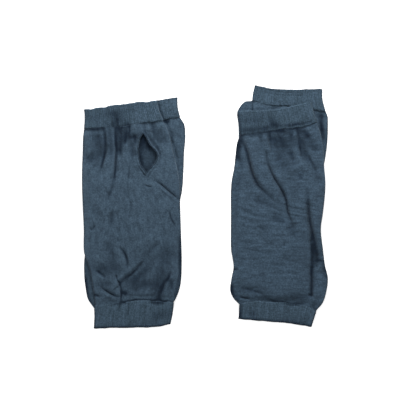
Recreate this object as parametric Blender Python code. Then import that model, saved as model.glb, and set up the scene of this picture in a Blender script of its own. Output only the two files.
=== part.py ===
"""A pair of knitted arm warmers laid flat side by side, each on a second one that has slipped up behind it.

Every warmer is a knitted tube in three pieces: a ribbed band at the hand, a plain body, and a ribbed
cuff at the arm. The left one lies thumb hole up, and the right one lies thumb hole down. +X runs to the
right, +Y towards the hand, and +Z up from the surface. Tables are in millimetres, and the model is in metres.
"""

import math
from collections import namedtuple

import bmesh
import bpy
from mathutils import Vector

MM = 0.001

# Cloth
WALL = 1.6  # thickness of the knitted cloth
SEAM_GAP = 0.4  # between a band or cuff and the body that is knitted on to it
RIB_PITCH = 2.1  # one knit rib and one purl furrow, across a band
RIB_HEIGHT = 0.35

# How high each flattened tube stands
BAND_HEIGHT = 3.8  # two walls and the slack between them
UPPER_HEIGHT = 4.6
UNDER_HEIGHT = 4.4
UPPER_PUFF = 1.8  # extra height of the soft top wall, over the middle
UNDER_PUFF = 0.2
REST_GAP = 0.15  # between the two walls at the bottom of a deep fold
STACK_Z = 5.2  # the upper warmer's underside
PLUMP_RAMP = 9.0  # how far from a seam the body reaches its full height
SAG_ZONE = 7.0  # how far in from its edge an upper warmer droops

# Puckers where the wide body is drawn in to a narrow band
PUCKERS = 9
PUCKER_DEPTH = 0.9
PUCKER_LENGTH = 15.0
PUCKER_HALF_WIDTH = 2.3

# The thumb hole's cast-off edge
EDGE_RADIUS = 0.75
EDGE_GAP = 0.6
EDGE_TOP_TURN = (-67.2, 76.5)  # where the edge turns round at the hole's two ends
EDGE_LOW_TURN = (-63.8, 41.6)

RIBBED_FROM = 60  # a piece with more columns than this over its top has a rib on every second one
UNDERSIDE = (1.0, 0.93, 0.86, 0.3, -0.3, -0.86, -0.93, -1.0)  # where the bottom wall has its columns
WELD = 1e-7  # metres
COLOUR = (0.052, 0.083, 0.114, 1.0)
BAND_COLOUR = (0.055, 0.087, 0.118, 1.0)

# One line across a flattened tube. q1, mid and q3 are how far the line bows towards +Y at its quarters,
# and sag_l and sag_r are how far an upper warmer's edges droop beside the one under it.
Section = namedtuple("Section", "left_x left_y right_x right_y q1 mid q3 sag_l sag_r")

# A trough in the top wall from one point to another. bow bends it to the left of its run, and lip is the
# height of the ridge beside it, on the left where it is above 0 and on the right where it is below.
Fold = namedtuple("Fold", "x0 y0 x1 y1 bow depth width lip")

LEFT_UPPER_BAND = [
    Section(-130.5, 105.2, -52.5, 114.1, 0.0, 1.0, 1.0, 2.0, 0.0),
    Section(-129.6, 97.0, -50.0, 104.5, 0.0, 0.5, 0.5, 2.0, 0.0),
    Section(-130.5, 84.5, -45.5, 93.0, 0.0, -1.0, 0.0, 2.0, 0.0),
]
LEFT_UPPER_BODY = [
    Section(-130.5, 84.5, -45.5, 93.0, 0.0, -1.0, 0.0, 2.0, 0.0),
    Section(-131.5, 75.0, -39.5, 80.5, 0.0, -0.8, 0.0, 2.0, 0.0),
    Section(-132.1, 60.0, -35.0, 62.0, 0.0, -0.4, 0.0, 2.0, 0.0),
    Section(-132.5, 41.0, -30.0, 41.0, 0.0, 0.0, 0.0, 2.0, 0.0),
    Section(-132.6, 22.0, -27.0, 22.0, 0.0, 0.0, 0.0, 2.0, 0.0),
    Section(-132.1, 2.0, -27.0, 3.0, 0.0, 0.0, 0.0, 1.8, 0.0),
    Section(-130.7, -24.5, -26.2, -24.5, 0.0, 0.0, 0.0, 1.2, 0.5),
    Section(-130.5, -48.0, -25.4, -50.0, 0.0, 0.2, 0.3, 0.3, 1.2),
    Section(-126.5, -61.0, -25.4, -64.5, 0.0, 0.5, 0.6, 0.0, 1.2),
    Section(-123.0, -75.0, -26.0, -78.5, 0.2, 1.0, 1.0, 0.0, 0.6),
    Section(-121.2, -88.0, -28.2, -90.0, 0.5, 1.8, 1.8, 0.0, 0.0),
    Section(-119.6, -98.0, -31.6, -98.5, 0.8, 2.5, 2.5, 0.0, 0.0),
    Section(-118.5, -105.2, -34.0, -102.8, 1.0, 3.0, 3.0, 0.0, 0.0),
]
LEFT_UPPER_CUFF = [
    Section(-118.5, -105.2, -34.0, -102.8, 1.0, 3.0, 3.0, 0.0, 0.0),
    Section(-118.9, -118.0, -35.6, -115.5, 0.5, 1.0, 0.5, 0.0, 0.0),
    Section(-119.5, -130.4, -38.5, -125.4, -0.5, -1.4, -2.4, 0.0, 0.0),
]
LEFT_UNDER_BAND = [
    Section(-110.5, 105.4, -30.5, 118.4, 0.0, 0.3, 0.2, 0.0, 0.0),
    Section(-110.5, 95.0, -29.8, 107.0, 0.0, 0.2, 0.3, 0.0, 0.0),
    Section(-110.5, 84.5, -27.3, 97.5, 0.0, 0.0, 0.0, 0.0, 0.0),
]
LEFT_UNDER_BODY = [
    Section(-110.5, 84.5, -27.3, 97.5, 0.0, 0.0, 0.0, 0.0, 0.0),
    Section(-117.0, 76.0, -22.6, 89.5, 0.0, 0.0, 0.0, 0.0, 0.0),
    Section(-121.5, 62.0, -21.4, 77.0, 0.0, 0.0, 0.0, 0.0, 0.0),
    Section(-123.5, 44.0, -22.2, 60.0, 0.0, 0.0, 0.0, 0.0, 0.0),
    Section(-124.5, 22.0, -23.6, 38.0, 0.0, 0.0, 0.0, 0.0, 0.0),
    Section(-124.5, 0.0, -25.4, 16.0, 0.0, 0.0, 0.0, 0.0, 0.0),
    Section(-124.5, -20.0, -31.0, -6.0, 0.0, 0.0, 0.0, 0.0, 0.0),
    Section(-126.2, -37.0, -34.0, -26.0, 0.0, 0.0, 0.0, 0.0, 0.0),
    Section(-130.6, -54.0, -34.5, -46.0, 0.0, 0.0, 0.0, 0.0, 0.0),
    Section(-131.0, -73.0, -34.0, -66.0, 0.0, 0.0, 0.0, 0.0, 0.0),
    Section(-129.2, -89.0, -34.5, -82.0, 0.0, 0.0, 0.0, 0.0, 0.0),
    Section(-126.6, -100.0, -37.5, -94.0, 0.0, 0.0, 0.0, 0.0, 0.0),
    Section(-120.6, -108.5, -42.0, -101.5, 0.0, 0.0, 0.0, 0.0, 0.0),
]
LEFT_UNDER_CUFF = [
    Section(-120.2, -108.5, -42.0, -101.5, 0.0, 0.0, 0.0, 0.0, 0.0),
    Section(-119.3, -131.6, -46.5, -127.2, 0.0, -0.9, -1.2, 0.0, 0.0),
]
RIGHT_UPPER_BAND = [
    Section(34.5, 103.5, 114.0, 113.5, -1.5, -3.0, -1.5, 0.0, 0.0),
    Section(37.0, 92.5, 117.0, 103.5, -1.5, -2.3, -2.0, 0.0, 0.0),
    Section(37.5, 79.0, 120.5, 92.0, -1.5, -1.5, -2.5, 0.0, 0.0),
]
RIGHT_UPPER_BODY = [
    Section(37.5, 79.0, 120.5, 92.0, -1.5, -1.5, -2.5, 0.0, 0.0),
    Section(34.2, 69.5, 125.0, 78.5, -1.2, -1.2, -2.0, 0.0, 0.0),
    Section(32.6, 56.5, 127.8, 62.0, -0.6, -0.8, -1.0, 0.0, 0.0),
    Section(31.1, 42.5, 128.4, 45.5, 0.0, -0.4, -0.4, 0.2, 0.0),
    Section(28.7, 27.5, 129.9, 28.0, 0.0, 0.0, 0.0, 1.0, 0.5),
    Section(27.6, 12.5, 129.3, 12.5, 0.0, 0.0, 0.0, 1.5, 1.2),
    Section(28.2, -7.0, 127.2, -6.5, 0.0, 0.0, 0.0, 1.5, 1.4),
    Section(27.9, -26.5, 125.0, -23.5, 0.0, 0.0, 0.0, 1.5, 1.2),
    Section(27.9, -46.0, 127.4, -46.0, 0.5, 0.5, 0.5, 1.5, 1.5),
    Section(30.5, -64.0, 129.5, -63.0, 1.0, 1.0, 1.0, 0.8, 1.5),
    Section(28.2, -77.5, 132.6, -77.0, 2.0, 2.0, 2.0, 1.2, 1.5),
    Section(27.4, -90.5, 130.8, -92.0, 3.5, 4.0, 4.0, 0.5, 1.0),
    Section(31.0, -99.8, 126.8, -104.5, 5.0, 5.8, 6.0, 0.0, 0.0),
    Section(36.6, -105.2, 120.0, -113.0, 6.0, 7.0, 7.0, 0.0, 0.0),
]
RIGHT_UPPER_CUFF = [
    Section(36.6, -105.2, 120.0, -113.0, 6.0, 7.0, 7.0, 0.0, 0.0),
    Section(36.4, -112.5, 117.3, -120.8, 3.3, 4.2, 4.2, 0.0, 0.0),
    Section(36.0, -120.4, 114.2, -129.4, 0.3, 1.0, 1.2, 0.0, 0.0),
]
RIGHT_UNDER_BAND = [
    Section(54.2, 132.2, 126.2, 127.3, -3.0, -3.0, -1.5, 0.0, 0.0),
    Section(51.6, 124.0, 126.8, 117.0, -2.7, -1.7, -0.5, 0.0, 0.0),
    Section(50.8, 116.4, 130.4, 103.6, -2.5, -0.5, 0.0, 0.0, 0.0),
]
RIGHT_UNDER_BODY = [
    Section(50.6, 116.4, 130.6, 103.6, -2.5, -0.5, 0.0, 0.0, 0.0),
    Section(42.6, 113.9, 132.2, 98.5, -2.0, -0.5, 0.0, 0.0, 0.0),
    Section(37.3, 109.0, 132.7, 92.0, -1.5, 0.0, 0.0, 0.0, 0.0),
    Section(34.4, 102.0, 132.7, 84.5, -1.0, 0.0, 0.0, 0.0, 0.0),
    Section(35.8, 89.0, 132.4, 75.0, 0.0, 0.0, 0.0, 0.0, 0.0),
    Section(36.0, 72.5, 131.2, 62.0, 0.0, 0.0, 0.0, 0.0, 0.0),
    Section(35.5, 51.0, 128.5, 46.0, 0.0, 0.0, 0.0, 0.0, 0.0),
    Section(35.0, 28.0, 124.0, 28.0, 0.0, 0.0, 0.0, 0.0, 0.0),
    Section(35.0, 6.0, 120.5, 6.0, 0.0, 0.0, 0.0, 0.0, 0.0),
    Section(35.0, -36.0, 118.5, -36.0, 0.0, 0.0, 0.0, 0.0, 0.0),
    Section(36.0, -78.0, 121.0, -80.0, 0.0, 0.0, 0.0, 0.0, 0.0),
    Section(37.0, -94.0, 117.0, -98.0, 0.0, 0.0, 0.0, 0.0, 0.0),
    Section(41.0, -101.5, 112.5, -106.5, 0.0, 0.0, 0.0, 0.0, 0.0),
]
RIGHT_UNDER_CUFF = [
    Section(41.0, -101.5, 112.5, -106.5, 0.0, 0.0, 0.0, 0.0, 0.0),
    Section(39.5, -118.0, 110.0, -124.5, 0.0, 0.0, 0.0, 0.0, 0.0),
]

LEFT_UPPER_FOLDS = [
    # from the hand band down
    Fold(-110.0, 92.0, -107.0, 58.0, 1.0, 1.2, 4.5, 0.0),
    Fold(-107.0, 62.0, -121.0, 28.0, 3.0, 1.0, 4.0, 0.0),
    Fold(-96.2, 96.0, -94.0, 60.0, 0.5, 2.2, 2.0, -0.8),
    Fold(-94.0, 66.0, -104.5, 8.0, 2.5, 1.7, 2.4, -0.5),
    Fold(-84.0, 90.0, -84.0, 70.0, 0.0, 1.2, 6.5, 0.0),
    Fold(-82.0, 54.0, -82.0, 4.0, -1.0, 0.9, 2.2, 0.3),
    # round the thumb hole
    Fold(-72.0, 44.0, -61.0, 27.0, 0.0, 0.9, 1.8, -0.5),
    Fold(-53.0, 43.5, -64.0, 29.5, 0.0, 0.8, 1.8, 0.4),
    Fold(-66.0, 24.0, -49.0, 23.0, 0.0, 0.9, 2.0, 0.5),
    Fold(-54.5, 30.0, -25.0, 5.5, 1.0, 2.2, 1.9, -0.9),
    # the middle
    Fold(-100.5, 6.0, -100.5, -24.0, 0.5, 0.9, 2.6, 0.2),
    Fold(-80.0, 8.0, -79.0, -28.0, 0.5, 0.7, 2.4, 0.2),
    Fold(-39.0, 2.0, -32.0, -24.0, 0.0, 1.0, 2.2, -0.4),
    Fold(-127.5, -27.5, -110.5, -12.5, 1.5, 0.9, 2.8, 0.3),
    Fold(-101.5, -24.5, -90.0, -38.0, 0.0, 0.8, 2.4, 0.3),
    Fold(-92.0, -41.0, -84.0, -68.0, 2.0, 1.0, 2.2, 0.4),
    # drawn in above the cuff
    Fold(-49.0, -30.0, -72.0, -60.0, -3.5, 1.0, 3.2, -0.5),
    Fold(-69.0, -57.0, -93.5, -83.0, -1.0, 2.0, 2.0, -0.9),
    Fold(-98.0, -69.0, -91.5, -84.0, 0.8, 1.3, 1.8, 0.3),
    Fold(-91.8, -79.0, -91.3, -112.0, -1.0, 2.1, 1.8, -0.8),
    Fold(-112.5, -87.5, -93.5, -97.5, 0.5, 1.5, 1.9, 0.4),
    Fold(-119.0, -67.5, -106.0, -77.5, 0.0, 0.9, 2.6, 0.3),
    Fold(-122.5, -93.0, -111.5, -98.0, 0.0, 1.2, 2.2, 0.0),
    Fold(-48.5, -84.0, -48.0, -110.0, 0.0, 1.9, 2.6, 0.3),
    Fold(-62.0, -64.0, -63.0, -104.0, 0.0, 0.9, 11.0, 0.0),
    Fold(-39.0, -68.0, -48.0, -93.0, 1.5, 1.1, 2.8, 0.4),
]
RIGHT_UPPER_FOLDS = [
    # from the hand band down
    Fold(37.0, 84.0, 49.0, 44.0, 1.3, 1.8, 2.0, 0.7),
    Fold(48.6, 50.0, 73.5, 8.0, -3.0, 2.3, 2.1, 0.9),
    Fold(64.5, 57.0, 85.5, 15.0, -1.8, 2.2, 2.0, 0.9),
    Fold(84.0, 22.0, 100.0, -32.0, -1.5, 2.1, 2.0, 0.7),
    Fold(68.0, 92.0, 74.0, 48.0, 0.5, 1.1, 2.6, -0.4),
    Fold(70.0, 77.0, 96.0, 78.0, 0.0, 1.2, 5.5, 0.0),
    Fold(100.0, 92.0, 108.0, 42.0, 0.5, 1.3, 3.0, -0.7),
    Fold(110.5, 55.0, 124.0, 30.0, 0.0, 0.9, 2.4, 0.4),
    Fold(56.0, 86.0, 58.0, 58.0, 0.0, 0.9, 2.4, 0.4),
    # the long tuck down the right side
    Fold(108.5, 22.0, 116.8, -26.0, 0.8, 1.8, 2.1, 0.9),
    Fold(115.6, -16.0, 118.5, -54.0, 0.3, 2.3, 3.0, 1.2),
    Fold(118.4, -42.0, 113.4, -99.0, 0.4, 2.0, 2.3, 0.8),
    # across the lower half
    Fold(34.0, -43.5, 81.0, -52.5, -1.0, 0.8, 2.6, 0.3),
    Fold(58.5, -19.0, 67.0, -28.0, 0.0, 0.8, 2.4, 0.2),
    Fold(64.0, -65.0, 91.0, -62.0, 0.0, 0.7, 2.6, 0.2),
    Fold(27.0, -62.5, 40.0, -69.0, 0.0, 1.1, 2.2, 0.3),
    Fold(46.0, -86.0, 74.0, -96.0, 0.5, 1.0, 2.4, 0.4),
    Fold(34.0, -96.0, 52.0, -99.0, 0.0, 1.1, 2.2, 0.3),
    Fold(76.0, -99.0, 108.0, -101.0, 0.0, 0.9, 4.5, 0.0),
]
LEFT_UNDER_FOLDS = [
    Fold(-36.0, 100.0, -32.0, 72.0, 0.0, 1.0, 2.6, 0.0),
    Fold(-44.0, 98.0, -33.0, 60.0, 0.0, 0.8, 2.8, 0.0),
    Fold(-129.0, -74.0, -122.0, -104.0, 0.0, 0.7, 2.4, 0.0),
]
RIGHT_UNDER_FOLDS = [
    Fold(73.5, 116.0, 76.0, 94.0, 0.0, 1.0, 2.4, 0.0),
    Fold(89.0, 116.0, 88.0, 94.0, 0.0, 1.2, 2.6, 0.0),
    Fold(119.0, 110.0, 124.5, 78.0, 0.0, 1.1, 2.8, 0.0),
    Fold(50.0, 120.0, 44.0, 98.0, 0.0, 0.9, 2.6, 0.0),
    Fold(127.0, 102.0, 128.5, 60.0, 0.0, 0.8, 2.4, 0.0),
]

# The thumb hole, from its hand end down: how far its left and right edges stand from the slit.
HoleRow = namedtuple("HoleRow", "y slit_x left right")
THUMB_HOLE = [
    HoleRow(79.5, -66.8, 0.3, 0.3),
    HoleRow(75.0, -67.0, 2.5, 2.0),
    HoleRow(70.5, -66.9, 4.1, 4.4),
    HoleRow(66.5, -66.6, 5.4, 6.8),
    HoleRow(62.0, -66.2, 6.3, 11.5),
    HoleRow(57.5, -65.8, 6.2, 13.8),
    HoleRow(53.5, -65.4, 6.1, 13.4),
    HoleRow(49.0, -64.8, 5.2, 10.8),
    HoleRow(44.5, -64.2, 3.8, 6.2),
    HoleRow(40.5, -63.6, 1.4, 2.1),
    HoleRow(37.8, -63.3, 0.3, 0.3),
]
TURNED_HOLE_SHIFT = 150.0  # from the left warmer's thumb hole to the right one's, which faces down

Piece = namedtuple("Piece", "name sections folds upper body columns rows colour")


def smooth(t):
    """0 to 1 with level ends."""
    t = min(1.0, max(0.0, t))
    return t * t * (3.0 - 2.0 * t)


def smooth_between(knots, rows, at):
    """The rows' values at a place along their knots, on one smooth curve through them."""
    last = len(knots) - 1
    i = 0
    while i < last - 1 and at > knots[i + 1]:
        i += 1
    span = knots[i + 1] - knots[i]
    t = (at - knots[i]) / span

    def slope(k):
        low, high = max(0, k - 1), min(last, k + 1)
        return [(b - a) / (knots[high] - knots[low]) for a, b in zip(rows[low], rows[high])]

    start, end = slope(i), slope(i + 1)
    h0, h1 = 2 * t**3 - 3 * t**2 + 1, t**3 - 2 * t**2 + t
    h2, h3 = -2 * t**3 + 3 * t**2, t**3 - t**2
    return [
        h0 * a + h1 * span * m + h2 * b + h3 * span * n
        for a, b, m, n in zip(rows[i], rows[i + 1], start, end)
    ]


def run_of(sections):
    """How far along the tube each section lies."""
    knots = [0.0]
    for above, below in zip(sections, sections[1:]):
        dx = (below.left_x + below.right_x - above.left_x - above.right_x) / 2
        dy = (below.left_y + below.right_y - above.left_y - above.right_y) / 2
        knots.append(knots[-1] + math.hypot(dx, dy))
    return knots


def section_at(piece, at):
    knots = run_of(piece.sections)
    return Section(*smooth_between(knots, piece.sections, at))


def on_section(section, across):
    """The point of a section at across, from -1 at its left edge to 1 at its right edge."""
    share = (across + 1.0) / 2.0
    x = section.left_x + (section.right_x - section.left_x) * share
    y = section.left_y + (section.right_y - section.left_y) * share
    tilt = (section.q3 - section.q1) / 0.75
    peak = 4.0 * ((section.q1 + section.q3) / 1.5 - section.mid)
    rise = (1.0 - across * across) * (section.mid + tilt * across + peak * across * across)
    return x, y + rise


def fold_height(folds, x, y):
    """How far the folds move the top wall at a point."""
    height = 0.0
    for f in folds:
        run = math.hypot(f.x1 - f.x0, f.y1 - f.y0)
        ex, ey = (f.x1 - f.x0) / run, (f.y1 - f.y0) / run
        along = ((x - f.x0) * ex + (y - f.y0) * ey) / run
        if not -0.1 < along < 1.1:
            continue
        aside = (y - f.y0) * ex - (x - f.x0) * ey - f.bow * 4.0 * along * (1.0 - along)
        if abs(aside) > 5.0 * f.width:
            continue
        taper = smooth((along + 0.1) / 0.25) * smooth((1.1 - along) / 0.4)
        side = math.copysign(1.0, f.lip)
        ridge = abs(f.lip) * math.exp(-(((side * aside - 1.8 * f.width) / (1.1 * f.width)) ** 2))
        height += taper * (ridge - f.depth * math.exp(-((aside / f.width) ** 2)))
    return height


def pucker_height(across, from_seam, seam_width):
    """Small uneven gathers below a seam, dying out down the body."""
    fade = math.exp(-from_seam / PUCKER_LENGTH)
    height = 0.0
    for k in range(PUCKERS):
        place = -0.9 + 1.8 * (k + 0.28 * math.sin(2.4 * k + 0.7)) / (PUCKERS - 1)
        depth = PUCKER_DEPTH * (0.65 + 0.35 * math.sin(3.1 * k + 1.0))
        aside = (across - place) * seam_width / 2.0
        height -= depth * math.exp(-((aside / PUCKER_HALF_WIDTH) ** 2))
    return height * fade


def top_rise(piece, section, at, length, across):
    """How far the top wall stands off the flat tube: its puff, folds, gathers or ribs."""
    x, y = on_section(section, across)
    width = section.right_x - section.left_x
    if not piece.body:
        return 0.0
    puff = UPPER_PUFF if piece.upper else UNDER_PUFF
    ramp = smooth(at / PLUMP_RAMP) * smooth((length - at) / PLUMP_RAMP)
    rise = puff * ramp * (1.0 - across**4) + fold_height(piece.folds, x, y)
    if piece.upper:
        edge = 1.0 - across**8
        rise += edge * pucker_height(across, at, width)
        rise += edge * pucker_height(-across, length - at, width)
    slack = tube_height(piece, at, length) - 2.0 * WALL - REST_GAP
    return max(rise, -slack)


def tube_height(piece, at, length):
    """The flat tube's height, which grows from a seam into the body."""
    if not piece.body:
        return BAND_HEIGHT
    full = UPPER_HEIGHT if piece.upper else UNDER_HEIGHT
    ramp = smooth(at / PLUMP_RAMP) * smooth((length - at) / PLUMP_RAMP)
    return BAND_HEIGHT + (full - BAND_HEIGHT) * ramp


def sag_at(section, across):
    """How far an upper warmer droops at this place across it."""
    half = (section.right_x - section.left_x) / 2.0
    left = 1.0 - smooth((across + 1.0) * half / SAG_ZONE)
    right = 1.0 - smooth((1.0 - across) * half / SAG_ZONE)
    return section.sag_l * left + section.sag_r * right


def round_the_tube(piece):
    """The columns round a flattened tube, as (across, outward, up): over the top and back underneath."""
    top = piece.columns
    side_turns = (0.5, 0.0, -0.5)  # in right angles, down the right side
    columns = [(-1.0 + 2.0 * k / top, 0.0, 1.0) for k in range(top + 1)]
    for turn in side_turns:
        angle = turn * math.pi / 2
        columns.append((1.0, math.cos(angle), math.sin(angle)))
    columns += [(across, 0.0, -1.0) for across in UNDERSIDE]
    for turn in reversed(side_turns):
        angle = turn * math.pi / 2
        columns.append((-1.0, -math.cos(angle), math.sin(angle)))
    return columns


def wall_point(piece, section, at, length, column, index, inset):
    """A point of the outer wall, or of the inner wall where inset is the cloth's thickness."""
    across, outward, up = column
    radius = tube_height(piece, at, length) / 2.0
    width = section.right_x - section.left_x
    centre = across * (1.0 - 2.0 * radius / width)
    x, y = on_section(section, centre)
    slope = (section.right_y - section.left_y) / width
    reach = (radius - inset) * outward
    base = STACK_Z if piece.upper else 0.0
    z = base + radius + (radius - inset) * up
    z += max(0.0, up) * top_rise(piece, section, at, length, centre)
    if piece.columns > RIBBED_FROM and up == 1.0 and inset == 0.0 and index % 2:
        z += RIB_HEIGHT
    z -= sag_at(section, centre + reach * 2.0 / width)
    return Vector((x + reach, y + reach * slope, z)) * MM


def wrap_grid(bm, columns, loops, place):
    """A grid wrapped round both ways into one closed wall, place giving each of its points."""
    made = bmesh.ops.create_grid(bm, x_segments=columns, y_segments=loops, size=1.0)
    for vert in made["verts"]:
        column = round((vert.co.x + 1.0) / 2.0 * columns) % columns
        loop = round((vert.co.y + 1.0) / 2.0 * loops) % loops
        vert.co = place(column, loop)
    bmesh.ops.remove_doubles(bm, verts=bm.verts, dist=WELD)
    bmesh.ops.recalc_face_normals(bm, faces=bm.faces)


def knit_tube(piece):
    """One piece of a warmer: a flattened tube of cloth, open at both ends, through its sections."""
    columns = round_the_tube(piece)
    length = run_of(piece.sections)[-1]
    start = SEAM_GAP if piece.body else 0.0
    end = length - SEAM_GAP if piece.body else length
    outer = [start + (end - start) * k / piece.rows for k in range(piece.rows + 1)]
    inner_rows = max(1, piece.rows // 3)
    inner = [end + (start - end) * k / inner_rows for k in range(inner_rows + 1)]
    rings = [(at, 0.0) for at in outer] + [(at, WALL) for at in inner]
    sections = [section_at(piece, at) for at, _ in rings]

    def place(column, loop):
        at, inset = rings[loop]
        return wall_point(piece, sections[loop], at, length, columns[column], column, inset)

    bm = bmesh.new()
    wrap_grid(bm, len(columns), len(rings), place)
    return finished(bm, piece.name, piece.colour)


def cloth_material(name, colour):
    material = bpy.data.materials.get(name) or bpy.data.materials.new(name)
    material.use_nodes = True
    shader = material.node_tree.nodes["Principled BSDF"]
    shader.inputs["Base Color"].default_value = colour
    shader.inputs["Roughness"].default_value = 0.95
    shader.inputs["Metallic"].default_value = 0.0
    return material


def finished(bm, name, colour):
    """The bmesh as a named object of the scene, in its own knitted cloth."""
    mesh = bpy.data.meshes.new(name)
    bm.to_mesh(mesh)
    bm.free()
    mesh.materials.append(cloth_material(f"{name}_knit", colour))
    mesh.shade_smooth()
    mesh.set_sharp_from_angle(angle=math.radians(50.0))
    obj = bpy.data.objects.new(name, mesh)
    bpy.context.scene.collection.objects.link(obj)
    return obj


def hole_outline():
    """The thumb hole's cut edge, down its left side and up its right."""
    left = [(r.slit_x - r.left, r.y) for r in THUMB_HOLE]
    right = [(r.slit_x + r.right, r.y) for r in THUMB_HOLE]
    return left + right[::-1]


def hole_cutter(name, shift, low, high):
    """A prism of the thumb hole's outline."""
    bm = bmesh.new()
    outline = [Vector((x + shift, y, low)) * MM for x, y in hole_outline()]
    face = bm.faces.new([bm.verts.new(point) for point in outline])
    grown = bmesh.ops.extrude_face_region(bm, geom=[face])
    lifted = [g for g in grown["geom"] if isinstance(g, bmesh.types.BMVert)]
    bmesh.ops.translate(bm, verts=lifted, vec=Vector((0.0, 0.0, high - low)) * MM)
    bmesh.ops.recalc_face_normals(bm, faces=bm.faces)
    cutter = finished(bm, name, COLOUR)
    cutter.hide_render = True
    cutter.display_type = "WIRE"
    return cutter


def cut(obj, cutter):
    modifier = obj.modifiers.new("thumb_hole", "BOOLEAN")
    modifier.operation = "DIFFERENCE"
    modifier.solver = "EXACT"
    modifier.object = cutter


def top_wall_at(piece, x, y):
    """The height of the piece's top outer wall over a point."""
    length = run_of(piece.sections)[-1]
    at, across = length / 3.0, 0.0
    for _ in range(12):
        section = section_at(piece, at)
        here_x, here_y = on_section(section, across)
        at += here_y - y
        across += (x - here_x) * 2.0 / (section.right_x - section.left_x)
    section = section_at(piece, at)
    rise = top_rise(piece, section, at, length, across)
    return STACK_Z + tube_height(piece, at, length) + rise - sag_at(section, across)


def thumb_edge(piece):
    """The cast-off edge of the thumb hole, a thin roll of knitting just inside the cut."""
    inset = EDGE_RADIUS + EDGE_GAP
    left = [(r.slit_x - r.left + inset, r.y) for r in THUMB_HOLE[1:-2]]
    right = [(r.slit_x + r.right - inset, r.y) for r in THUMB_HOLE[1:-2]]
    outline = [EDGE_TOP_TURN, *left, EDGE_LOW_TURN, *right[::-1]]
    count = len(outline)
    steps = 2 * count
    knots = list(range(count + 3))
    closed = [outline[-1], *outline, outline[0], outline[1]]
    path = [smooth_between(knots, closed, 1.0 + k * count / steps) for k in range(steps)]
    round_it = 6

    def place(column, loop):
        x, y = path[loop]
        ahead, behind = path[(loop + 1) % steps], path[loop - 1]
        run = math.hypot(ahead[0] - behind[0], ahead[1] - behind[1])
        out_x, out_y = (ahead[1] - behind[1]) / run, (behind[0] - ahead[0]) / run
        angle = 2.0 * math.pi * column / round_it
        aside = EDGE_RADIUS * math.cos(angle)
        z = top_wall_at(piece, x, y) - WALL / 2 + EDGE_RADIUS * math.sin(angle)
        return Vector((x + out_x * aside, y + out_y * aside, z)) * MM

    bm = bmesh.new()
    wrap_grid(bm, round_it, steps, place)
    return finished(bm, "left_thumb_edge", BAND_COLOUR)


def rib_columns(sections):
    """Two columns for each rib across a band, one on the rib and one in its furrow."""
    return 2 * round((sections[0].right_x - sections[0].left_x) / RIB_PITCH)


def warmer(side, layer, band, body, cuff, folds):
    """The three pieces of one warmer. The under one's cuff lies hidden and so has plain walls."""
    upper = layer == "upper"
    name = f"{side}_{layer}"
    columns, rows = (32, 30) if upper else (22, 14)
    cuff_columns = rib_columns(cuff) if upper else 20
    return [
        Piece(f"{name}_band", band, [], upper, False, rib_columns(band), 2, BAND_COLOUR),
        Piece(f"{name}_body", body, folds, upper, True, columns, rows, COLOUR),
        Piece(f"{name}_cuff", cuff, [], upper, False, cuff_columns, 2, BAND_COLOUR),
    ]


def build():
    for old in list(bpy.data.objects):
        bpy.data.objects.remove(old)
    pieces = [
        *warmer("left", "upper", LEFT_UPPER_BAND, LEFT_UPPER_BODY, LEFT_UPPER_CUFF, LEFT_UPPER_FOLDS),
        *warmer("left", "under", LEFT_UNDER_BAND, LEFT_UNDER_BODY, LEFT_UNDER_CUFF, LEFT_UNDER_FOLDS),
        *warmer("right", "upper", RIGHT_UPPER_BAND, RIGHT_UPPER_BODY, RIGHT_UPPER_CUFF, RIGHT_UPPER_FOLDS),
        *warmer("right", "under", RIGHT_UNDER_BAND, RIGHT_UNDER_BODY, RIGHT_UNDER_CUFF, RIGHT_UNDER_FOLDS),
    ]
    made = {piece.name: knit_tube(piece) for piece in pieces}
    by_name = {piece.name: piece for piece in pieces}
    back_top = STACK_Z + WALL + 0.25
    above_all = STACK_Z + UPPER_HEIGHT + 5.0
    cut(made["left_upper_body"], hole_cutter("left_thumb_cutter", 0.0, back_top, above_all))
    cut(
        made["right_upper_body"],
        hole_cutter("right_thumb_cutter", TURNED_HOLE_SHIFT, STACK_Z - 3.0, back_top),
    )
    thumb_edge(by_name["left_upper_body"])


build()
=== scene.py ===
"""A pair of knitted arm warmers laid flat side by side, each on a second one that has slipped up behind it.

Each hand band, body and cuff is one closed wall of knitting round a flattened tube. It is a grid, wrapped
both ways and shaped row by row from the tables below, with its creases laid one by one. Tables are in
millimetres, +X runs to the right, +Y towards the hand, and +Z up from the surface.
"""

import math
from collections import namedtuple

import bmesh
import bpy
import numpy as np
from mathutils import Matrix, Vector, noise


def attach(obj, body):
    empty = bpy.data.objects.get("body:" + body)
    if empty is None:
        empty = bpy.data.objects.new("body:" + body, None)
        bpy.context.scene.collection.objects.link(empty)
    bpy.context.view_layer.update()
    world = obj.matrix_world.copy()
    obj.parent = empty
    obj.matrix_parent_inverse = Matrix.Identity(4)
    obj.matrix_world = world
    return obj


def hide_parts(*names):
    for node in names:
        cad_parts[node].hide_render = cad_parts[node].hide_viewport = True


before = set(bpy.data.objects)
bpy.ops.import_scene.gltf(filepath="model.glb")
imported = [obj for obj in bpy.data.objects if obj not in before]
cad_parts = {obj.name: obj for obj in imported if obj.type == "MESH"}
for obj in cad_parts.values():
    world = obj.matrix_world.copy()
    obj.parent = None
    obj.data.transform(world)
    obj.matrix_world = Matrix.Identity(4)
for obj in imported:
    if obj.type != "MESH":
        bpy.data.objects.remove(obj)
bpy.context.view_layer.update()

MM = 0.001

# Cloth
WALL = 1.2  # one layer of the knit where it lies slack
RIB_PITCH = 2.1  # one knit rib and one purl furrow
RIB_HEIGHT = 0.4
WALE = 1.9  # one column of jersey stitches
COURSE = 1.5  # one row of stitches

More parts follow.
